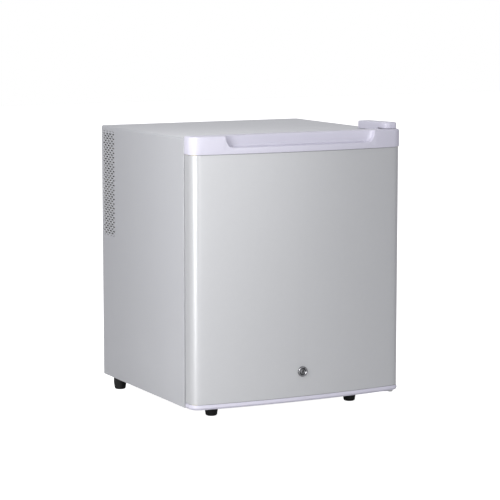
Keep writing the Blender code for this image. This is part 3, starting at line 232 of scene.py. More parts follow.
def offsetLoop(loop, inset):  # a counter-clockwise loop moved inwards
    moved = []
    for i, point in enumerate(loop):
        before, here, after = Vector(loop[i - 1]), Vector(point), Vector(loop[(i + 1) % len(loop)])
        first, second = (here - before).normalized(), (after - here).normalized()
        sideA, sideB = Vector((-first.y, first.x)), Vector((-second.y, second.x))
        between = sideA + sideB
        moved.append(tuple(here + between * inset / max(between.dot(sideA), 0.2)))
    return moved


def border(us, vs):  # round the rim of a grid
    return ([(u, vs[0]) for u in us[:-1]] + [(us[-1], v) for v in vs[:-1]]
            + [(u, vs[-1]) for u in us[:0:-1]] + [(us[0], v) for v in vs[:0:-1]])


def bridge(bm, rows):  # quads between closed rows
    for lower, upper in zip(rows, rows[1:]):
        for i in range(len(lower)):
            j = (i + 1) % len(lower)
            bm.faces.new((lower[i], lower[j], upper[j], upper[i]))


def loft(name, rings, closeEnds=True, around=False):
    bm = bmesh.new()
    rows = [[bm.verts.new(point) for point in ring] for ring in rings]
    bridge(bm, rows + rows[:1] if around else rows)
    if closeEnds:
        bm.faces.new(rows[0])
        bm.faces.new(rows[-1])
    return toObject(name, bm)


def lathe(name, axis, centre, profile, steps=48):  # profile is (radius, height), ends on the axis
    rings = [raised(axis, circle(*centre, radius, steps), height) for radius, height in profile]
    return loft(name, rings, closeEnds=False)


def rod(axis, centre, radius, ends):
    return loft("rod", [raised(axis, circle(*centre, radius), end) for end in ends])


# A flat plate with rounded rims. Beside each hole stands its own rounding, or None.
def plate(name, axis, low, high, outer, holes=(), rounding=0.3 * mm, steps=3):
    bm = bmesh.new()
    faces = [[], []]
    loops = [(outer, 1, rounding)]
    loops += [(hole, -1, rounding if own is None else own) for hole, own in holes]
    for loop, way, radius in loops:
        edge = quarter(radius, steps) if radius else [(0, 0)]
        rows = []
        for inset, height in ([(inset, low + rise) for inset, rise in edge]
                              + [(inset, high - rise) for inset, rise in reversed(edge)]):
            moved = offsetLoop(loop, way * inset) if inset else loop
            rows.append([bm.verts.new(point) for point in raised(axis, moved, height)])
        bridge(bm, rows)
        for end, row in zip(faces, (rows[0], rows[-1])):
            end += [bm.edges.get((row[i - 1], row[i])) for i in range(len(row))]
    for edges in faces:
        bmesh.ops.triangle_fill(bm, edges=edges, use_beauty=True)
    return toObject(name, bm)


def bevel(bm, edges, width, segments=2):
    bmesh.ops.bevel(
        bm, geom=edges, offset=width, segments=segments, profile=0.5, affect="EDGES")


def block(name, xs, ys, zs, rounding):
    bm = bmesh.new()
    bmesh.ops.create_cube(bm, size=1.0)
    for vert in bm.verts:
        vert.co = [side[0] if c < 0 else side[1] for c, side in zip(vert.co, (xs, ys, zs))]
    if rounding:
        bevel(bm, list(bm.edges), rounding)
    return toObject(name, bm)


def cut(obj, *cutters):
    for cutter in cutters:
        step = obj.modifiers.new("cut", "BOOLEAN")
        step.operation = "DIFFERENCE"
        step.solver = "EXACT"
        step.object = cutter
        bakeDown(obj)
        discard(cutter)
    return obj


# Camera, floor and light

view = {"place": (-1.6327, -3.1701, 0.7356), "down": 0.1321, "right": 0.4753, "lens": 146.47}
lamps = {  # place, target, size, watts
    "leftBox": ((-0.9, -0.58, 0.8), (-0.2, -0.15, 0.35), (0.3, 1.2), 6.6),
    "leftNear": ((-0.8, -0.6, 0.45), (-0.2, -0.2, 0.3), (0.2, 0.9), 2.3),
    "frontStrip": ((-0.35, -2.6, 0.5), (-0.2, -0.2, 0.25), (0.5, 1.9), 8.4),
    "frontLow": ((0.6, -2.8, 0.5), (0, -0.15, 0.25), (1.6, 0.8), 4.4),
    "rearTop": ((0.9, 1.7, 1.5), (0, 0, 0.49), (1.2, 0.5), 3.2),
}
studio = {
    "white": (1, 1, 1, 1), "air": (0.95, 0.955, 1, 1), "airStrength": 0.51,
    "floorReach": 8, "floor": (0.65, 0.65, 0.65, 1), "floorGloss": (0.44, 0.5),
}


def setCamera():
    data = bpy.data.cameras.new("photoCamera")
    data.lens = view["lens"]
    data.sensor_width = 36
    data.clip_end = 50
    camera = link("photoCamera", data)
    camera.location = view["place"]
    camera.rotation_euler = (math.pi / 2 - view["down"], 0, -view["right"])
    scene.camera = camera


def setLight():
    for name, (place, target, size, watts) in lamps.items():
        data = bpy.data.lights.new(name, "AREA")
        data.shape = "RECTANGLE"
        data.size, data.size_y = size
        data.energy = watts
        lamp = link(name, data)
        lamp.location = place
        aim = Vector(target) - Vector(place)
        lamp.rotation_euler = aim.to_track_quat("-Z", "Y").to_euler()
    world = bpy.data.worlds.new("studio")
    world.use_nodes = True
    tree = world.node_tree
    tree.nodes.clear()
    seen = add(tree, "ShaderNodeBackground", {"Color": studio["white"], "Strength": 1.0})
    lit = add(tree, "ShaderNodeBackground", {
        "Color": studio["air"], "Strength": studio["airStrength"]})
    path = add(tree, "ShaderNodeLightPath").outputs["Is Camera Ray"]
    mix = add(tree, "ShaderNodeMixShader", {0: path, 1: lit, 2: seen})
    add(tree, "ShaderNodeOutputWorld", {"Surface": mix})
    scene.world = world
    scene.view_settings.view_transform = "Standard"


def setFloor():
    bm = bmesh.new()
    bmesh.ops.create_grid(bm, x_segments=12, y_segments=12, size=studio["floorReach"])
    floor = writeMesh(bm, link("floor", bpy.data.meshes.new("floor")))
    material, tree, shader, place = newMaterial("paleFloor")
    path = add(tree, "ShaderNodeLightPath").outputs["Is Camera Ray"]
    feed(tree, shader, {
        "Base Color": studio["floor"], "Specular IOR Level": 0.1,
        "Roughness": remap(tree, noise(tree, place, 3.0), 0.0, 1.0, *studio["floorGloss"]),
        "Emission Color": studio["white"], "Emission Strength": path})
    floor.data.materials.append(material)


setCamera()
setLight()
setFloor()
print("camera, light, floor")


# Shader groups that the finishes share

def orangePeelGroup():  # the slow ripple and fine texture of paint or moulded plastic
    tree, given, out = newTree("Shader", "orangePeel", {
        "Vector": "Vector", "Ripple Scale": 300.0, "Grain Scale": 2500.0, "Grain Share": 0.4,
    }, ["Height"])
    ripple = noise(tree, given["Vector"], given["Ripple Scale"], 1.0)
    grain = noise(tree, given["Vector"], given["Grain Scale"])
    both = add(tree, "ShaderNodeMix", {0: given["Grain Share"], 2: ripple, 3: grain})
    return feed(tree, out, {"Height": both})


def handlingGroup():  # faint smears and hazy patches that change the gloss
    tree, given, out = newTree("Shader", "handling", {
        "Vector": "Vector", "Low": 0.3, "High": 0.4}, ["Roughness", "Patch"])
    smear = noise(tree, given["Vector"], 9.0, 5.0, 0.6, 0.6)
    patch = math2(tree, "MULTIPLY", smear, noise(tree, given["Vector"], 4.0))
    spread = remap(tree, patch, 0.12, 0.42, given["Low"], given["High"])
    return feed(tree, out, {"Roughness": spread, "Patch": patch})


def maskGroup(name, source, low, high, *grain):  # a measure of the surface, broken up by noise
    tree, given, out = newTree("Shader", name, {"Vector": "Vector", "Amount": 0.1}, ["Mask"])
    measure = add(tree, "ShaderNodeNewGeometry").outputs[source]
    if source == "Normal":
        measure = add(tree, "ShaderNodeSeparateXYZ", {0: measure}).outputs["Z"]
    share = remap(tree, measure, low, high, 0.0, 1.0)
    broken = math2(tree, "MULTIPLY", share, noise(tree, given["Vector"], *grain))
    return feed(tree, out, {"Mask": math2(tree, "MULTIPLY", broken, given["Amount"])})


def brushGroup():  # straight fine lines, as rolled or brushed metal has
    tree, given, out = newTree("Shader", "brushLines", {
        "Vector": "Vector", "Stretch": (900.0, 900.0, 12.0)}, ["Height"])
    stretched = add(tree, "ShaderNodeVectorMath", {
        0: given["Vector"], 1: given["Stretch"]}, operation="MULTIPLY")
    return feed(tree, out, {"Height": noise(tree, stretched, 1.0, 3.0)})


groups = {
    "peel": orangePeelGroup(), "handling": handlingGroup(), "brush": brushGroup(),
    "edgeWear": maskGroup("edgeWear", "Pointiness", 0.52, 0.62, 130.0, 4.0),  # paler rims
    "dust": maskGroup("dust", "Normal", 0.5, 1.0, 60.0, 8.0, 0.75),  # on what faces up
}


def useGroup(tree, name, place, inputs):
    inputs = {"Vector": place, **inputs}
    return add(tree, "ShaderNodeGroup", inputs, node_tree=groups[name]).outputs


# Finishes: colour and its variation, gloss from low to high, then the surface's own relief

finishes = {
    "silverPaint": dict(
        colour=(0.60, 0.605, 0.625), shade=(0.57, 0.575, 0.60), gloss=(0.36, 0.44), metallic=0.35,
        coat=0.25, coatGloss=0.18, peel=(420, 3200, 0.35), bump=0.05, dust=0.05, wear=0.12),
    "doorSteel": dict(
        colour=(0.61, 0.615, 0.625), shade=(0.585, 0.59, 0.605), gloss=(0.34, 0.40),
        metallic=0.38, coat=0.2, coatGloss=0.26, peel=(350, 3600, 0.5), bump=0.035, wear=0.08),
    "capPlastic": dict(
        colour=(0.655, 0.64, 0.735), shade=(0.625, 0.61, 0.705), gloss=(0.27, 0.34),
        peel=(260, 2600, 0.3), bump=0.04, dust=0.04, wear=0.15),
    "whitePlastic": dict(
        colour=(0.80, 0.81, 0.82), shade=(0.77, 0.78, 0.79), gloss=(0.30, 0.40),
        peel=(180, 1800, 0.35), bump=0.07, dust=0.03, wear=0.1),
    "blackRubber": dict(
        colour=(0.006, 0.006, 0.007), shade=(0.011, 0.011, 0.011), gloss=(0.5, 0.68),
        peel=(700, 4200, 0.6), bump=0.2, dust=0.1, wear=0.3),
    "gasketRubber": dict(
        colour=(0.30, 0.30, 0.315), shade=(0.27, 0.27, 0.28), gloss=(0.5, 0.62),
        peel=(500, 3000, 0.6), bump=0.12, wear=0.15),
    "foamCore": dict(
        colour=(0.74, 0.66, 0.40), shade=(0.66, 0.57, 0.32), gloss=(0.8, 0.95),
        peel=(240, 900, 0.5), bump=0.5),
    "zincSteel": dict(
        colour=(0.60, 0.60, 0.58), shade=(0.50, 0.51, 0.50), gloss=(0.28, 0.42), metallic=1.0,
        brush=(240, 240, 30), bump=0.08, wear=0.3),
    # chrome's colour and shade are kept dark as a painted reflection, standing in for the dark
    # surroundings that real chrome would mirror
    "chrome": dict(
        colour=(0.32, 0.32, 0.33), shade=(0.26, 0.26, 0.27), gloss=(0.04, 0.09), metallic=1.0,
        peel=(500, 3000, 0.5), bump=0.02, wear=0.2),
    "nylonWhite": dict(
        colour=(0.80, 0.79, 0.74), shade=(0.74, 0.73, 0.68), gloss=(0.4, 0.5),
        peel=(400, 2400, 0.5), bump=0.08),
    "aluminium": dict(
        colour=(0.70, 0.71, 0.72), shade=(0.60, 0.61, 0.62), gloss=(0.28, 0.4), metallic=1.0,
        brush=(60, 60, 1200), bump=0.1),
    "ceramicWhite": dict(
        colour=(0.80, 0.80, 0.77), shade=(0.74, 0.74, 0.71), gloss=(0.35, 0.5),
        peel=(600, 3000, 0.6), bump=0.08),
    "darkPlastic": dict(
        colour=(0.022, 0.022, 0.024), shade=(0.03, 0.03, 0.032), gloss=(0.36, 0.48),
        peel=(420, 2600, 0.55), bump=0.12, wear=0.2, dust=0.06),
    "circuitBoard": dict(
        colour=(0.02, 0.15, 0.06), shade=(0.05, 0.26, 0.11), gloss=(0.25, 0.4),
        peel=(900, 3000, 0.4), bump=0.1),
    "windingTape": dict(
        colour=(0.62, 0.47, 0.08), shade=(0.50, 0.36, 0.06), gloss=(0.4, 0.55),
        brush=(20, 20, 700), bump=0.15),
    "shelfGlass": dict(
        colour=(0.90, 0.97, 0.95), ior=1.5, gloss=(0.01, 0.06), peel=(90, 2500, 0.4), bump=0.01,
        bumpDepth=0.5 * mm),
    "clearPlastic": dict(
        colour=(0.90, 0.92, 0.95), ior=1.49, gloss=(0.12, 0.24), peel=(90, 2500, 0.4), bump=0.05,
        bumpDepth=0.5 * mm),
}
dustColour = (0.62, 0.60, 0.57, 1)


def surfaceColour(tree, place, patch, look):  # varied, paler at worn rims, dusty on top
    colour = blend(tree, patch, (*look["colour"], 1), (*look["shade"], 1))
    if "wear" in look:
        worn = useGroup(tree, "edgeWear", place, {"Amount": look["wear"]})
        pale = tuple(min(1, c * 1.25 + 0.05) for c in look["colour"])
        colour = blend(tree, worn["Mask"], colour, (*pale, 1))
    if "dust" in look:
        dusty = useGroup(tree, "dust", place, {"Amount": look["dust"]})
        colour = blend(tree, dusty["Mask"], colour, dustColour)
    return colour


def buildFinish(name, look):
    material, tree, shader, place = newMaterial(name)
    handled = useGroup(tree, "handling", place, dict(zip(("Low", "High"), look["gloss"])))
    if "ior" in look:
        own = {"Base Color": (*look["colour"], 1), "IOR": look["ior"], "Transmission Weight": 1.0}
    else:
        own = {"Base Color": surfaceColour(tree, place, handled["Patch"], look),
               "Metallic": look.get("metallic", 0.0), "Coat Weight": look.get("coat", 0.0),
               "Coat Roughness": look.get("coatGloss", 0.1)}
    if "brush" in look:
        relief = useGroup(tree, "brush", place, {"Stretch": look["brush"]})
    else:
        labels = ("Ripple Scale", "Grain Scale", "Grain Share")
        relief = useGroup(tree, "peel", place, dict(zip(labels, look["peel"])))
    bump = add(tree, "ShaderNodeBump", {
        "Strength": look["bump"], "Distance": look.get("bumpDepth", 0.3 * mm),
        "Height": relief["Height"]})
    feed(tree, shader, {"Roughness": handled["Roughness"], "Normal": bump, **own})
    return material


materials = {name: buildFinish(name, look) for name, look in finishes.items()}
print("finishes:", len(materials))


def finish(obj, material, body, replaced=(), sharp=32):
    obj.data.materials.clear()
    obj.data.materials.append(materials[material])
    for polygon in obj.data.polygons:
        polygon.material_index = 0
    obj.data.shade_smooth()
    obj.data.set_sharp_from_angle(angle=math.radians(sharp))
    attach(obj, body)
    if replaced:
        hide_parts(*replaced)
    return obj


# Geometry trees

def dress(tree, given, out, grown):  # plain mesh in its finish
    real = add(tree, "GeometryNodeRealizeInstances", {"Geometry": grown})
    dressed = add(tree, "GeometryNodeSetMaterial", {
        "Geometry": real, "Material": given["Finish"]})
    return feed(tree, out, {"Geometry": dressed})


def slotFieldTree():  # one punched tile repeated on a flat grid
    tree, given, out = newTree("Geometry", "slotField", {
        "Tile": "Object", "Columns": 4, "Rows": 8, "Column Pitch": 15 * mm, "Row Pitch": 8 * mm,
        "Centre": (0, 0, 0), "Finish": "Material"}, ["Geometry"])
    sizes = {}
    for side, label in (("X", "Column"), ("Y", "Row")):
        gaps = math2(tree, "SUBTRACT", given[f"{label}s"], 1)
        sizes[f"Size {side}"] = math2(tree, "MULTIPLY", gaps, given[f"{label} Pitch"])
        sizes[f"Vertices {side}"] = given[f"{label}s"]
    grid = add(tree, "GeometryNodeMeshGrid", sizes)
    tile = add(tree, "GeometryNodeObjectInfo", {"Object": given["Tile"]})
    copies = add(tree, "GeometryNodeInstanceOnPoints", {
        "Points": grid, "Instance": tile.outputs["Geometry"]})
    moved = add(tree, "GeometryNodeTransform", {
        "Geometry": copies, "Translation": given["Centre"]})
    return dress(tree, given, out, moved)


def screwSetTree():  # one screw at each point, each turned by chance about its own axis
    tree, given, out = newTree("Geometry", "screwSet", {
        "Places": "Geometry", "Screw": "Object", "Turn": (0, 0, 0), "Seed": 3,
        "Finish": "Material"}, ["Geometry"])
    screw = add(tree, "GeometryNodeObjectInfo", {"Object": given["Screw"]})
    copies = add(tree, "GeometryNodeInstanceOnPoints", {
        "Points": given["Places"], "Instance": screw.outputs["Geometry"],
        "Rotation": given["Turn"]})
    chance = add(tree, "FunctionNodeRandomValue", {
        0: (0, 0, 0), 1: (0, 0, 2 * math.pi), "Seed": given["Seed"]}, data_type="FLOAT_VECTOR")
    turned = add(tree, "GeometryNodeRotateInstances", {
        "Instances": copies, "Rotation": chance, "Local Space": True})
    return dress(tree, given, out, turned)


def bowTree():  # the door's rule: its front swells forward by a parabola across the width
    tree, given, out = newTree("Geometry", "bow", {
        "Flat": "Geometry", "Half Width": 0.2, "Bow": 0.0129, "Front": 0.0, "Back": 0.03,
        "Finish": "Material"}, ["Geometry"])

    def calc(operation, a, b):
        return math2(tree, operation, a, b)

    place = add(tree, "GeometryNodeInputPosition")
    split = add(tree, "ShaderNodeSeparateXYZ", {0: place}).outputs
    across = calc("DIVIDE", split["X"], given["Half Width"])
    swell = calc("MAXIMUM", calc("SUBTRACT", 1.0, calc("MULTIPLY", across, across)), 0.0)
    depth = calc("SUBTRACT", given["Back"], given["Front"])
    share = calc("DIVIDE", calc("SUBTRACT", given["Back"], split["Y"]), depth)
    share = calc("MINIMUM", calc("MAXIMUM", share, 0.0), 1.0)
    shift = calc("MULTIPLY", calc("MULTIPLY", swell, share), given["Bow"])
    move = add(tree, "ShaderNodeCombineXYZ", {"Y": calc("MULTIPLY", shift, -1.0)})
    bowed = add(tree, "GeometryNodeSetPosition", {"Geometry": given["Flat"], "Offset": move})
    return dress(tree, given, out, bowed)


slotField, screwSet, bow = slotFieldTree(), screwSetTree(), bowTree()


# Punched sheets: built flat as (along, up, outwards), then put in place

cabinetLow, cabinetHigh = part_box("side_panel_left")
cabinet = {
    "half": -cabinetLow.x, "front": cabinetLow.y, "back": cabinetHigh.y, "low": cabinetLow.z,
    "top": cabinetHigh.z, "sheet": 1.2 * mm, "corner": 6 * mm, "bend": 3 * mm,
}
sidePanel = {
    "columns": 4, "rows": 46, "columnPitch": 13.6 * mm, "rowPitch": 4.13 * mm,
    "slot": (10.2 * mm, 2.4 * mm), "endSlot": (4.6 * mm, 2.4 * mm), "slotRound": 0.25 * mm,
    "lowestRow": 0.2575, "rearColumn": 9.4 * mm, "rim": 0.35 * mm, "fold": 10 * mm, "bendSteps": 12,
}


def slotTile(cell, slot, thick, rounding):
    radius = slot[1] / 2
    straight = slot[0] / 2 - radius
    loop = arc(straight, 0, radius, -90, 90, 6) + arc(-straight, 0, radius, 90, 270, 6)
    rings = [raised("Z", offsetLoop(loop, -inset), -drop) for inset, drop in quarter(rounding, 2)]
    rings.append(raised("Z", loop, -thick))
    bm = bmesh.new()
    rows = [[bm.verts.new(point) for point in ring] for ring in rings]
    bridge(bm, rows)
    # each point of the loop goes to the rim corner of its own quarter
    count = len(loop)
    turns = (count // 4, count // 2, count // 2 + count // 4)
    owners = [(1, 2, 4, 5)[sum(i >= turn for turn in turns)] for i in range(count)]
    midway = {(2, 4): 3, (5, 1): 0}
    signs = ((0, -1), (1, -1), (1, 1), (0, 1), (-1, 1), (-1, -1))
    for row, height in ((rows[0], 0), (rows[-1], -thick)):
        rim = [bm.verts.new((s * cell[0] / 2, r * cell[1] / 2, height)) for s, r in signs]
        for i in range(count):
            j = (i + 1) % count
            pair = owners[i], owners[j]
            face = [row[i], row[j], rim[pair[1]]]
            if pair in midway:
                face.append(rim[midway[pair]])
            if pair[0] != pair[1]:
                face.append(rim[pair[0]])
            bm.faces.new(face)
    return toObject("tile", bm)


def growField(tile, columns, rows, pitches, centre):
    field = grow("field", slotField, {
        "Tile": tile, "Columns": columns, "Rows": rows, "Column Pitch": pitches[0],
        "Row Pitch": pitches[1], "Centre": (*centre, 0), "Finish": materials["silverPaint"]})
    discard(tile)
    return field


def sewn(obj):  # neighbouring sheets share their border vertices
    return writeMesh(weld(readMesh(obj.data), 2e-6), obj)


# Rows of slots laid like bricks: every other row lies half a pitch along and has one slot less.
# The first and last rows have short slots.
def ventFields():
    form, thick = sidePanel, cabinet["sheet"]
    wide, tall, low = form["columnPitch"], form["rowPitch"], form["lowestRow"]
    columns, count = form["columns"], form["rows"]
    along = cabinet["back"] - form["rearColumn"] - (columns - 1) / 2 * wide
    fields = []
    for slot, across, rows, rowPitch, middleRow in (
            ("slot", columns, count // 2 - 1, 2, count / 2),
            ("slot", columns - 1, count // 2 - 1, 2, count / 2 - 1),
            ("endSlot", columns, 2, count - 1, (count - 1) / 2)):
        tile = slotTile((wide, tall), form[slot], thick, form["slotRound"])
        pitches, centre = (wide, rowPitch * tall), (along, low + middleRow * tall)
        fields.append(growField(tile, across, rows, pitches, centre))
    return fields


def flatPanel():
    form, thick, bend = sidePanel, cabinet["sheet"], cabinet["bend"]
    rear = cabinet["back"] - form["rearColumn"] + form["columnPitch"] / 2
    us = [rear - i * form["columnPitch"] / 2 for i in range(2 * form["columns"], -1, -1)]
    us = [cabinet["front"]] + us + [cabinet["back"]]
    straight = cabinet["top"] - cabinet["low"] - bend
    bent = straight + bend * math.pi / 2
    total = bent + cabinet["corner"] - bend
    vs = [form["lowestRow"] + (i - 0.5) * form["rowPitch"] for i in range(form["rows"] + 1)]
    vs = [0.0] + vs + [total]
    bm = bmesh.new()
    grids = [[[bm.verts.new((u, v, w)) for v in vs] for u in us] for w in (0, -thick)]
    last, rows = 2 * form["columns"], form["rows"]
    for i in range(len(us) - 1):
        for j in range(len(vs) - 1):
            halfCell = i in (1, last) and j % 2 == 0 and j < rows  # beside a shifted row's slots
            if 1 <= i <= last and 1 <= j <= rows and not halfCell:
                continue
            for grid in grids:
                bm.faces.new((grid[i][j], grid[i + 1][j], grid[i + 1][j + 1], grid[i][j + 1]))
    rim = border(range(len(us)), range(len(vs)))
    bridge(bm, [[grid[i][j] for i, j in rim] for grid in grids])
    panel = sewn(merge(toObject("flatPanel", bm), *ventFields()))
    bm = readMesh(panel.data)

    def onRim(vert):
        sides = (vert.co.x - us[0], vert.co.x - us[-1], vert.co.y, vert.co.y - total)
        return abs(vert.co.z) < 1e-6 and min(abs(side) for side in sides) < 1e-6

    edges = [edge for edge in bm.edges
             if all(onRim(vert) for vert in edge.verts) and edge.calc_face_angle(0) > 1]
    bevel(bm, edges, form["rim"])
    for i in range(form["bendSteps"] + 1):
        height = straight + (bent - straight) * i / form["bendSteps"]
        parts = bm.verts[:] + bm.edges[:] + bm.faces[:]
        bmesh.ops.bisect_plane(bm, geom=parts, plane_co=(0, height, 0), plane_no=(0, 1, 0))
    return writeMesh(bm, panel), straight


def bendPanel(panel, straight, sign):
    bend, half, top = cabinet["bend"], cabinet["half"], cabinet["top"]
    bm = readMesh(panel.data)
    for vert in bm.verts:
        u, v, w = vert.co
        if v <= straight:
            x, z = half + w, cabinet["low"] + v
        else:
            angle = min((v - straight) / bend, math.pi / 2)
            beyond = max(v - straight - bend * math.pi / 2, 0)
            x = half - bend + (bend + w) * math.cos(angle) - beyond
            z = top - bend + (bend + w) * math.sin(angle)
        vert.co = (sign * x, u, z)
    return toObject("bent", bm)


def sidePanels():
    flat, straight = flatPanel()
    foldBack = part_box("rear_cover")[0].y - 0.3 * mm
    sheet, half = cabinet["sheet"], cabinet["half"]
    for side, sign in (("left", -1), ("right", 1)):
        panel = bendPanel(flat, straight, sign)
        panel.name = f"side_panel_{side}_punched"
        xs = sorted((sign * (half - 0.5 * sheet), sign * (half - sidePanel["fold"])))
        zs = (cabinet["low"] + 1.5 * mm, cabinet["top"] - cabinet["corner"])
        merge(panel, block("fold", xs, (foldBack - sheet, foldBack), zs, 0.3 * mm))
        finish(panel, "silverPaint", "cabinet", [f"side_panel_{side}"])
    discard(flat)


sidePanels()
print("side panels")


# Top, front frame and rear cover

front = {"wide": 18 * mm, "mouthCorner": 0.5 * mm, "mouthRim": 0.3 * mm, "rim": 0.6 * mm}
rearCover = {
    "columns": 5, "rows": 9, "columnPitch": 26 * mm, "rowPitch": 12.5 * mm,
    "slot": (20 * mm, 4.5 * mm), "slotRound": 0.3 * mm, "inletFlange": 4 * mm,
    "screws": [(x, z) for z in (0.04, 0.25, 0.46) for x in (-0.187, 0.187)] + [
        (0.0, 0.036), (0.0, 0.465)],
}


def topPanel():
    low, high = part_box("top_panel")
    loop = [(low.x, low.y), (high.x, low.y), (high.x, high.y), (low.x, high.y)]
    panel = plate("top_panel_sheet", "Z", low.z, high.z, loop, rounding=0.4 * mm)
    finish(panel, "silverPaint", "cabinet", ["top_panel"])


def frontFrame():
    low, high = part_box("front_frame")
    corner, sides = cabinet["bend"], (low.x, high.x, low.z, high.z)
    loop = [(low.x, low.z), (high.x, low.z)]
    loop += arc(high.x - corner, high.z - corner, corner, 0, 90, 10)
    loop += arc(low.x + corner, high.z - corner, corner, 90, 180, 10)
    mouth = roundRect(*inward(sides, front["wide"]), front["mouthCorner"], 3)
    holes = [(mouth, front["mouthRim"])]
    ring = plate("front_frame_ring", "Y", low.y, high.y, loop, holes, front["rim"], 4)
    finish(ring, "silverPaint", "cabinet", ["front_frame"])


def rearCoverSheet():
    form = rearCover
    low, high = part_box("rear_cover")
    socketLow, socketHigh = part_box("power_inlet")
    socket = (socketLow.x, socketHigh.x, socketLow.z, socketHigh.z)
    height = middle("hot_fan_frame", 0, 2)[1]
    pitches = (form["columnPitch"], form["rowPitch"])
    us = [(i / 2 - form["columns"] / 2) * pitches[0] for i in range(2 * form["columns"] + 1)]
    vs = [height + (i - form["rows"] / 2) * pitches[1] for i in range(form["rows"] + 1)]
    inlet = roundRect(*inward(socket, form["inletFlange"]), 0.8 * mm, 4)
    outer = roundRect(low.x, high.x, low.z, high.z, cabinet["bend"])
    holes = [(border(us, vs), 0), (inlet, None)]
    cover = plate("rear_cover_sheet", "Y", low.y, high.y, outer, holes)
    tile = slotTile(pitches, form["slot"], high.y - low.y, form["slotRound"])
    slotRows = growField(tile, form["columns"], form["rows"], pitches, (0, height))
    slotRows.data.transform(Matrix(((1, 0, 0, 0), (0, 0, 1, high.y), (0, 1, 0, 0), (0, 0, 0, 1))))
    sewn(merge(cover, slotRows))
    finish(cover, "silverPaint", "cabinet", ["rear_cover"])
    places = [(x, high.y, z) for x, z in form["screws"]]
    screws("rear_cover_screws", places, (-math.pi / 2, 0, 0), 3.4 * mm, 1.6 * mm, "cabinet")


# A pan-head screw with a cross recess, in shares of its radius and height
screwForm = {
    "outline": ((0.96, 0), (1, 0.18), (0.97, 0.45), (0.84, 0.75), (0.6, 0.94), (0, 1)),
    "crossReach": 0.52, "crossWide": 0.22, "crossFloor": 0.4,
}


def screwHead(radius, tall):
    profile = [(radius * out, tall * up) for out, up in screwForm["outline"]]
    head = lathe("screwHead", "Z", (0, 0), [(0, 0)] + profile, 24)
    reach, slim = radius * screwForm["crossReach"], screwForm["crossWide"]
    for wide, deep in ((1.0, slim), (slim, 1.0)):
        xs, ys = (-reach * wide, reach * wide), (-reach * deep, reach * deep)
        cut(head, block("cross", xs, ys, (tall * screwForm["crossFloor"], tall * 1.5), 0))
    return head


def screws(name, places, turn, radius, tall, body, replaced=(), seed=3):
    screw = screwHead(radius, tall)
    points = bpy.data.meshes.new(name)
    points.from_pydata(places, [], [])
    made = grow(name, screwSet, {
        "Screw": screw, "Turn": turn, "Seed": seed, "Finish": materials["zincSteel"]}, points)
    discard(screw)
    return finish(made, "zincSteel", body, replaced, 40)


topPanel()
frontFrame()
rearCoverSheet()
print("top panel, front frame, rear cover")


# Door

doorLow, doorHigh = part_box("door_skin")
door = {
    "half": doorHigh.x, "back": doorHigh.y, "bow": 12.9 * mm, "corner": 15.3 * mm,
    "skin": 0.8 * mm, "proud": 1.5 * mm, "frontSteps": 40, "lockHole": 7.3 * mm,
}
door["edge"] = doorLow.y + door["bow"]  # where the front would be without its bow
topCap = {  # with the handle's recess
    "rounding": 3.5 * mm, "lip": 0.8 * mm, "half": 141.5 * mm, "floorHalf": 129.5 * mm,
    "deep": 19.6 * mm, "behind": 3.0 * mm, "fillet": 6 * mm, "rim": 0.9 * mm,
    "lipWide": 2.2 * mm, "trough": 1.6 * mm,
}
bottomCap = [  # in mm: inset, the level that the height counts from, height, draw of the back
    (3.0, "low", 0, 1.2), (1.6, "low", 0.12, 0.6), (0.7, "low", 0.5, 0.3), (0, "low", 1.1, 0.1),
    (-1.05, "crest", -1.5, 0), (-1.42, "crest", -0.35, 0), (-1.5, "crest", 0, 0),
    (-1.4, "crest", 0.4, 0), (-0.3, "ledge", -0.3, 0), (0.15, "ledge", 0, 0.3),
    (1.1, "ledge", 0, 0.5), (1.2, "ledge", 1.6, 3.0), (1.6, "ledge", 1.8, 3.4),
]


def doorLoop(inset, back, backRound=0.0):  # the door's plan before it is bowed
    side, radius, ahead = door["half"] - inset, door["corner"] - inset, door["edge"] + inset
    reach, steps = side - radius, door["frontSteps"]
    clear = topCap["floorHalf"] - 2 * mm
    xs = [-clear + 2 * clear * i / steps for i in range(steps + 1)]
    ends = [clear + (reach - clear) * share for share in (0.33, 0.56, 0.78)]
    loop = arc(-reach, ahead + radius, radius, 180, 270, 12)
    loop += [(x, ahead) for x in [-x for x in reversed(ends)] + xs + ends]
    loop += arc(reach, ahead + radius, radius, 270, 360, 12)
    if backRound:
        loop += arc(side - backRound, back - backRound, backRound, 0, 90, 4)
        loop += arc(backRound - side, back - backRound, backRound, 90, 180, 4)
    return loop


def bowed(obj, material):
    made = grow(obj.name, bow, {
        "Half Width": door["half"], "Bow": door["bow"], "Front": door["edge"],
        "Back": door["back"], "Finish": materials[material]}, obj.data)
    discard(obj)
    return made


def doorSkin():
    low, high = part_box("door_skin")
    back, loops = door["back"], []
    for inset in (door["skin"], 0):
        side = door["half"] - inset
        loops.append([(-side, back)] + doorLoop(inset, back) + [(side, back)])
    inner, outer = loops
    lengths = [raised("Z", inner, low.z), raised("Z", outer, low.z),
               raised("Z", outer, high.z), raised("Z", inner, high.z)]
    skin = bowed(loft("door_skin_flat", list(zip(*lengths))), "doorSteel")
    ends = (low.y - 4 * mm, low.y + 4 * mm)
    cut(skin, rod("Y", middle("lock_barrel", 0, 2), door["lockHole"], ends))
    skin.name = "door_skin_sheet"
    finish(skin, "doorSteel", "door", ["door_skin"], 30)


def capBody(name, rows):  # each row is inset, height and how far the back draws in
    rings = [raised("Z", doorLoop(inset, door["back"] - draw, 1.2 * mm), z)
             for inset, z, draw in rows]
    return bowed(loft(f"{name}_flat", rings), "capPlastic")


def finishCap(cap, name, sharp):
    cap.name = f"{name}_moulded"
    finish(cap, "capPlastic", "door", [name], sharp)


def cutSeat(cap, bush, ends):
    low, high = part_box(bush)
    cut(cap, rod("Z", middle(bush), (high.x - low.x) / 2 + 0.3 * mm, ends))


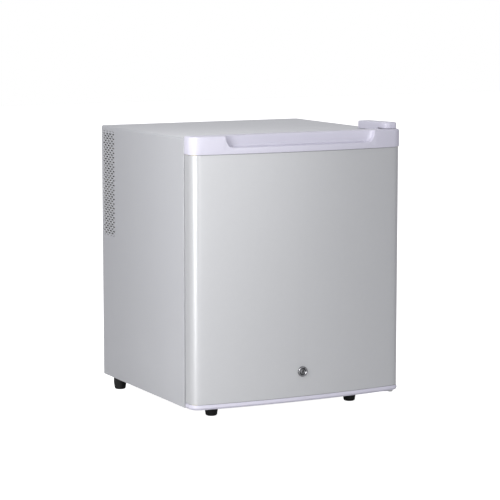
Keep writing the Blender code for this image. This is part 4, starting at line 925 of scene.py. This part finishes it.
def recessCutter(top):
    form, edge = topCap, door["edge"]
    lip, above = form["half"] - form["floorHalf"], top + 12 * mm
    right = arc(form["floorHalf"], top, lip, 0, -90, 16, form["deep"])
    loop = [(form["half"], above), (-form["half"], above)]
    loop += [(-x, z) for x, z in right] + right[::-1]
    rings = [raised("Y", loop, edge - 20 * mm)]
    for inset, rise in reversed(quarter(form["fillet"])):
        rings.append(raised("Y", offsetLoop(loop, inset), edge + form["behind"] - rise))
    return loft("recess", rings)


def troughCutter(floor):  # the floor lies lower behind the lip, which follows the door's bow
    reach = topCap["floorHalf"] - 5 * mm
    lip, behind = door["edge"] - door["proud"] + topCap["lipWide"], door["edge"] + 1 * mm
    xs = [reach * (i / 12 - 1) for i in range(25)]
    loop = [(x, lip - door["bow"] * (1 - (x / door["half"]) ** 2)) for x in xs]
    loop += [(reach, behind), (-reach, behind)]
    return loft("trough", [raised("Z", loop, floor + z) for z in (-topCap["trough"], 4 * mm)])


def doorTopCap():
    low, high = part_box("door_top_cap")
    proud, form = door["proud"], topCap
    rows = [(inset - proud, low.z + rise, 0) for inset, rise in quarter(form["lip"], 4)]
    for inset, drop in reversed(quarter(form["rounding"])):
        rows.append((inset - proud, high.z - drop, 0.4 * inset))
    cap = capBody("door_top_cap", rows)
    cut(cap, recessCutter(high.z))
    floor, back = high.z - form["deep"], door["edge"] + form["behind"]
    rim, slack = form["half"] + 0.5 * mm, 0.3 * mm

    def onRim(co):
        return abs(co.x) < rim and co.z > floor - slack and co.y < back + slack

    bm = readMesh(cap.data)
    bmesh.ops.remove_doubles(bm, verts=bm.verts, dist=1e-6)
    rimEdges = [edge for edge in bm.edges
                if len(edge.link_faces) == 2 and all(onRim(vert.co) for vert in edge.verts)
                and edge.calc_face_angle_signed() > math.radians(40)]
    bevel(bm, rimEdges, form["rim"], 3)
    writeMesh(bm, cap)
    cut(cap, troughCutter(floor))
    cutSeat(cap, "hinge_bush_top", (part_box("hinge_bush_top")[0].z, high.z + 5 * mm))
    finishCap(cap, "door_top_cap", 38)


def doorBottomCap():
    low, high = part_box("door_bottom_cap")
    levels = {"low": low.z, "crest": high.z - 4.6 * mm, "ledge": high.z}
    cap = capBody("door_bottom_cap", [
        (inset * mm, levels[level] + z * mm, draw * mm) for inset, level, z, draw in bottomCap])
    cutSeat(cap, "hinge_bush_bottom", (low.z - 5 * mm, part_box("hinge_bush_bottom")[1].z))
    finishCap(cap, "door_bottom_cap", 25)


def doorSeamShadeStrips():  # grey strips that close the joint between the steel and its caps; their grey is also painted shade, standing in for the shadow in the seam under the caps
    inset, thick = 0.5 * mm, 0.4 * mm
    spans = (("top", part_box("door_skin")[1].z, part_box("door_top_cap")[0].z),
             ("bottom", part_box("door_bottom_cap")[1].z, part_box("door_skin")[0].z))
    strips = []
    for place, low, high in spans:
        corners = ((inset, low), (inset, high), (inset + thick, high), (inset + thick, low))
        rings = [raised("Z", doorLoop(d, door["back"] - d - 2.1 * mm), z) for d, z in corners]
        strips.append(bowed(loft(f"door_seam_{place}", rings, False, True), "gasketRubber"))
    finish(merge(*strips), "gasketRubber", "door")


doorSkin()
doorTopCap()
doorBottomCap()
doorSeamShadeStrips()
print("door skin and caps")


# Hinge cover and feet

hinge = {
    "corners": (6.5 * mm, 4 * mm, 4 * mm, 9 * mm),  # front right, rear right, rear left, front left
    "rounding": 2.8 * mm, "slope": 2.2 * mm, "wall": 1.2 * mm,
    "gapFront": 0.6 * mm, "gapBack": 1.4 * mm,
}
foot = {
    "tip": 10.2 * mm, "round": 3.2 * mm, "belly": 13 * mm, "stud": 3.8 * mm, "pitch": 1.25 * mm,
    "groove": ((0, 2.4), (0.5, 2.0), (0.5, 1.4), (0, 1.0), (0, 0.4), (0.4, 0)),  # in, down, in mm
}


def hingeCover():
    low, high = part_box("hinge_cover")
    wall, sides = hinge["wall"], (low.x, high.x, low.y, high.y)

    def ring(inset, z, lean):
        radii = tuple(max(radius - inset, 0.8 * mm) for radius in hinge["corners"])
        slope = lean * hinge["slope"] / (high.y - low.y)
        loop = roundRect(*inward(sides, inset), radii, 10)
        return [(x, y, z - slope * (y - low.y)) for x, y in loop]

    rings = [ring(0, low.z, 0)]
    rings += [ring(d, high.z - drop, 1) for d, drop in reversed(quarter(hinge["rounding"]))]
    cover = loft("hinge_cover_shell", rings)
    room = loft("room", [ring(wall, low.z - wall, 0), ring(wall, high.z - wall, 1)])
    ahead, under, step = low.y - wall, low.z - wall, cabinet["front"]
    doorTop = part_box("door_top_cap")[1].z
    wedge = [(ahead, under), (step, under), (step, doorTop + hinge["gapBack"]),
             (ahead, doorTop + hinge["gapFront"])]
    ends = (low.x - wall, high.x + wall)
    cut(cover, room, loft("over", [[(x, y, z) for y, z in wedge] for x in ends]))
    finish(cover, "capPlastic", "cabinet", ["hinge_cover"], 35)


def feet():
    for name in ("foot_front_left", "foot_front_right", "foot_rear_left", "foot_rear_right"):
        low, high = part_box(name)
        centre, body = middle(name), nodes[name]["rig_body"]
        radius, top, stud = (high.x - low.x) / 2, cabinet["low"] - 0.3 * mm, foot["stud"]
        profile = [(0, low.z)]
        profile += [(foot["tip"] - d, low.z + rise) for d, rise in quarter(foot["round"])]
        profile += [(radius - 0.25 * mm, foot["belly"] - 2 * mm), (radius, foot["belly"])]
        profile += [(radius - d * mm, top - drop * mm) for d, drop in foot["groove"]]
        pad = lathe(f"{name}_pad", "Z", centre, profile + [(0, top)])
        finish(pad, "blackRubber", body, [name])
        z = top - 1 * mm
        thread = [(0, z)]
        while z < high.z - 0.5 * mm:
            thread += [(stud - 0.5 * mm, z), (stud, z + foot["pitch"] / 2)]
            z += foot["pitch"]
        thread += [(stud - 0.7 * mm, high.z), (0, high.z)]
        finish(lathe(f"{name}_stud", "Z", centre, thread, 32), "zincSteel", body, (), 20)


hingeCover()
feet()
print("hinge cover and feet")


# Lock

lockForm = {
    "rim": 2.2 * mm, "neck": 7 * mm, "flange": 3 * mm, "sunk": 0.5 * mm, "play": 0.2 * mm,
    "face": ((0, 0.35), (0.5, 0.25), (0.62, 0), (0.7, 0.1)),  # share of the radius, depth in mm
    "cuts": (((-0.9, 0.9), (-3.2, 3.2), 10), ((-1.1, 0.3), (-1.6, 0.2), 9)),  # x, z, deep in mm
}


def lock():
    low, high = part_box("lock_barrel")
    coreLow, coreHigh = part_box("lock_cylinder")
    centre, face, back = middle("lock_barrel", 0, 2), low.y, high.y
    radius, core = (high.x - low.x) / 2, (coreHigh.x - coreLow.x) / 2
    bore, neck, flange = core + lockForm["play"], lockForm["neck"], lockForm["flange"]
    profile = [(bore, back), (neck, back), (neck, face + flange),
               (radius, face + flange - 0.1 * mm)]
    profile += [(radius - d, face + rise) for d, rise in reversed(quarter(lockForm["rim"]))]
    profile += [(radius - 2.5 * mm, face + 0.15 * mm), (bore + 0.15 * mm, face + 2 * mm),
                (bore, face + 2.2 * mm), (bore, back)]
    barrel = lathe("lock_barrel_chrome", "Y", centre, profile, 64)
    finish(barrel, "chrome", "door", ["lock_barrel"], 40)
    ahead = face + lockForm["sunk"]
    profile = [(core * share, ahead + deep * mm) for share, deep in lockForm["face"]]
    profile += [(core - 0.1 * mm, ahead + 1.5 * mm), (core, ahead + 1.7 * mm),
                (core, coreHigh.y), (0, coreHigh.y)]
    plug = lathe("lock_cylinder_face", "Y", centre, profile, 64)
    for across, up, deep in lockForm["cuts"]:
        xs, zs = ([c + side * mm for side in sides] for c, sides in zip(centre, (across, up)))
        cut(plug, block("key", xs, (ahead - 3 * mm, ahead + deep * mm), zs, 0))
    finish(plug, "chrome", "lock_core", ["lock_cylinder"], 40)


lock()
print("lock")


# Gasket, door liner and bins

gasket = [  # how far in from the outer rim in mm, and how far off the door as a share
    (1.2, 0.0), (13.8, 0.0), (14.0, 0.12), (12.6, 0.22), (12.9, 0.34), (14.2, 0.46),
    (15.0, 0.62), (15.0, 0.86), (14.5, 1.0), (8.4, 1.0), (7.9, 0.9), (7.1, 0.9), (6.6, 1.0),
    (0.5, 1.0), (0.0, 0.86), (0.0, 0.62), (0.8, 0.46), (2.1, 0.34), (2.4, 0.22), (1.0, 0.12),
]
liner = {
    "sheet": 2 * mm, "edge": 0.6 * mm, "corner": 3 * mm, "dyke": (-0.152, 0.152, 0.094, 0.429),
    "bar": 16 * mm, "barCorner": 9 * mm, "roomCorner": 7 * mm, "soft": 3 * mm,
    "pegs": (131.5 * mm, 137 * mm), "pegDeep": (3 * mm, 10 * mm), "pegTall": 6 * mm,
    "pegDrop": 3.6 * mm,
}
bins = {
    "rim": 4.5 * mm, "wall": 2 * mm, "corner": 10 * mm, "soft": 3 * mm, "lipTall": 3 * mm,
    "lip": ((0.5, 0), (0.1, 0.3), (0, 0.8), (0, 2.2), (0.2, 2.7), (0.8, 3)),  # in, up, in mm
}


def ringSweep(axis, rows, steps=8):  # rows: a0, a1, b0, b1, height, corner
    return [raised(axis, roundRect(*row[:4], row[5], steps), row[4]) for row in rows]


def doorGasket():
    low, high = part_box("door_gasket")
    sides, tall = (low.x, high.x, low.z, high.z), high.y - low.y
    rows = [(*inward(sides, d * mm), low.y + tall * share, max(5 * mm - d * mm, 0.6 * mm))
            for d, share in gasket]
    ring = loft("door_gasket_bellows", ringSweep("Y", rows), False, True)
    finish(ring, "gasketRubber", "door", ["door_gasket"], 50)


def doorLiner():
    form = liner
    low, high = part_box("door_liner")
    back, edge, bar = low.y + form["sheet"], form["edge"], form["bar"]
    sides, dyke = (low.x, high.x, low.z, high.z), form["dyke"]
    rows = [(*inward(sides, d), y, form["corner"])
            for d, y in ((edge, low.y), (0, low.y + edge), (0, back - edge), (edge, back))]
    curve = quarter(form["soft"], 5)
    slope = [(-d, back + rise) for d, rise in curve]
    slope += [(d, high.y - rise) for d, rise in reversed(curve)]
    rows += [(*inward(dyke, d), y, form["barCorner"] - d) for d, y in slope]
    for d, y in reversed(slope):
        rows.append((*inward(dyke, bar - d), y, max(form["roomCorner"] + d * 0.6, 2.5 * mm)))
    made = loft("door_liner_formed", ringSweep("Y", rows, 7))
    for side in (-1, 1):
        for name in ("door_bin_lower", "door_bin_upper"):
            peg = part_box(name)[1].z - form["pegDrop"]
            xs, ys = sorted(side * x for x in form["pegs"]), [back + y for y in form["pegDeep"]]
            merge(made, block("peg", xs, ys, (peg - form["pegTall"], peg), 1 * mm))
    finish(made, "whitePlastic", "door", ["door_liner"], 35)


def doorBins():
    rim, wall, corner = bins["rim"], bins["wall"], bins["corner"]
    curve = quarter(bins["soft"], 5)
    for name in ("door_bin_lower", "door_bin_upper"):
        low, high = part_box(name)
        under = high.z - bins["lipTall"]
        tub = (low.x + rim, high.x - rim, low.y + 0.3 * mm, high.y - rim)
        rows = [(*inward(tub, d), low.z + rise, corner) for d, rise in curve]
        rows.append((*tub, under, corner))
        for out, up in bins["lip"]:
            d = out * mm
            rows.append((low.x + d, high.x - d, low.y + d * 0.2, high.y - d, under + up * mm,
                         corner))
        for d, z in ((wall - 0.5 * mm, high.z), (wall, high.z - 0.6 * mm)):
            rows.append((*inward(tub, d), z, corner - wall))
        for d, rise in reversed(curve):
            rows.append((*inward(tub, wall + d), low.z + wall + rise, corner - wall))
        tray = loft(f"{name}_tray", ringSweep("Z", rows))
        finish(tray, "clearPlastic", nodes[name]["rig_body"], [name], 35)


doorGasket()
doorLiner()
doorBins()
print("gasket, liner, bins")


# Plain CAD shapes, merged, with their edges rounded a little

copies = {  # finish: the nodes, each with its edge rounding in mm
    "whitePlastic": {
        "inner_liner": 0.5, "cold_air_cover": 0.35, "shelf_front_trim": 0.35,
        "shelf_rear_trim": 0.35, "control_housing": 0.3},
    "zincSteel": {
        "hinge_plate_bottom": 0.3, "hinge_pin_bottom": 0.25, "lock_nut": 0.4, "lock_cam": 0.25,
        "lock_strike": 0.25},
    "nylonWhite": {"hinge_washer": 0.1, "hinge_bush_bottom": 0.15},
    "darkPlastic": {
        "cold_fan_frame": 0.3, "cold_fan_rotor": 0, "hot_fan_frame": 0.3, "hot_fan_rotor": 0,
        "power_inlet": 0.35, "capacitor_left": 0.6, "capacitor_right": 0.6},
    "shelfGlass": {"shelf_glass": 0.5},
    "capPlastic": {"thermostat_knob": 0.4},
    "clearPlastic": {"lamp_lens": 0.3},
}


def smoothCopy(name, material, rounding):
    bm = readMesh(nodes[name].data)
    bmesh.ops.remove_doubles(bm, verts=bm.verts, dist=1e-5)
    bmesh.ops.dissolve_limit(bm, angle_limit=math.radians(0.6), verts=bm.verts, edges=bm.edges)
    obj = writeMesh(bm, link(f"{name}_smooth", bpy.data.meshes.new(name)))
    if rounding:
        softer = obj.modifiers.new("edges", "BEVEL")
        softer.width = rounding * mm
        softer.segments = 2
        softer.limit_method = "ANGLE"
        softer.angle_limit = math.radians(40)
        bakeDown(obj)
    finish(obj, material, nodes[name]["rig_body"], [name], 35)


for material, group in copies.items():
    for name, rounding in group.items():
        smoothCopy(name, material, rounding)
print("smoothed copies")


# Screws that replace the plain CAD ones

def screwSets():
    seat = 1.8 * mm
    for side, turn in (("top", 0), ("bottom", math.pi)):
        names = [f"hinge_screw_{side}_front", f"hinge_screw_{side}_rear"]
        places = []
        for name in names:
            low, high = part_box(name)
            places.append((*middle(name), high.z - seat if side == "top" else low.z + seat))
        screws(f"hinge_screws_{side}", places, (turn, 0, 0), 3.5 * mm, 1.8 * mm, "cabinet",
               names, 5)
    place = (*middle("lock_strike_screw"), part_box("lock_strike_screw")[0].z)
    screws("lock_strike_fixing", [place], (0, 0, 0), 2.8 * mm, 1.2 * mm, "cabinet",
           ["lock_strike_screw"], 7)
    x, z = middle("lock_cam_screw", 0, 2)
    place = (x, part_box("lock_cam_screw")[0].y, z)
    screws("lock_cam_fixing", [place], (-math.pi / 2, 0, 0), 3.2 * mm, 2.0 * mm, "lock_core",
           ["lock_cam_screw"], 8)


screwSets()
print("hinge and lock screws")


# Finishes for the CAD nodes that stay

kept = {
    "zincSteel": ["base_pan", "hinge_plate_top", "hinge_pin_top"],
    "nylonWhite": ["hinge_bush_top"], "foamCore": ["foam_insulation", "door_foam"],
    "ceramicWhite": ["thermoelectric_module"], "circuitBoard": ["power_board"],
    "aluminium": ["cold_block", "cold_sink", "hot_heat_sink"], "windingTape": ["transformer"],
}
for material, names in kept.items():
    for name in names:
        for place in nodes[name].material_slots:
            place.material = materials[material]
print("kept CAD nodes")
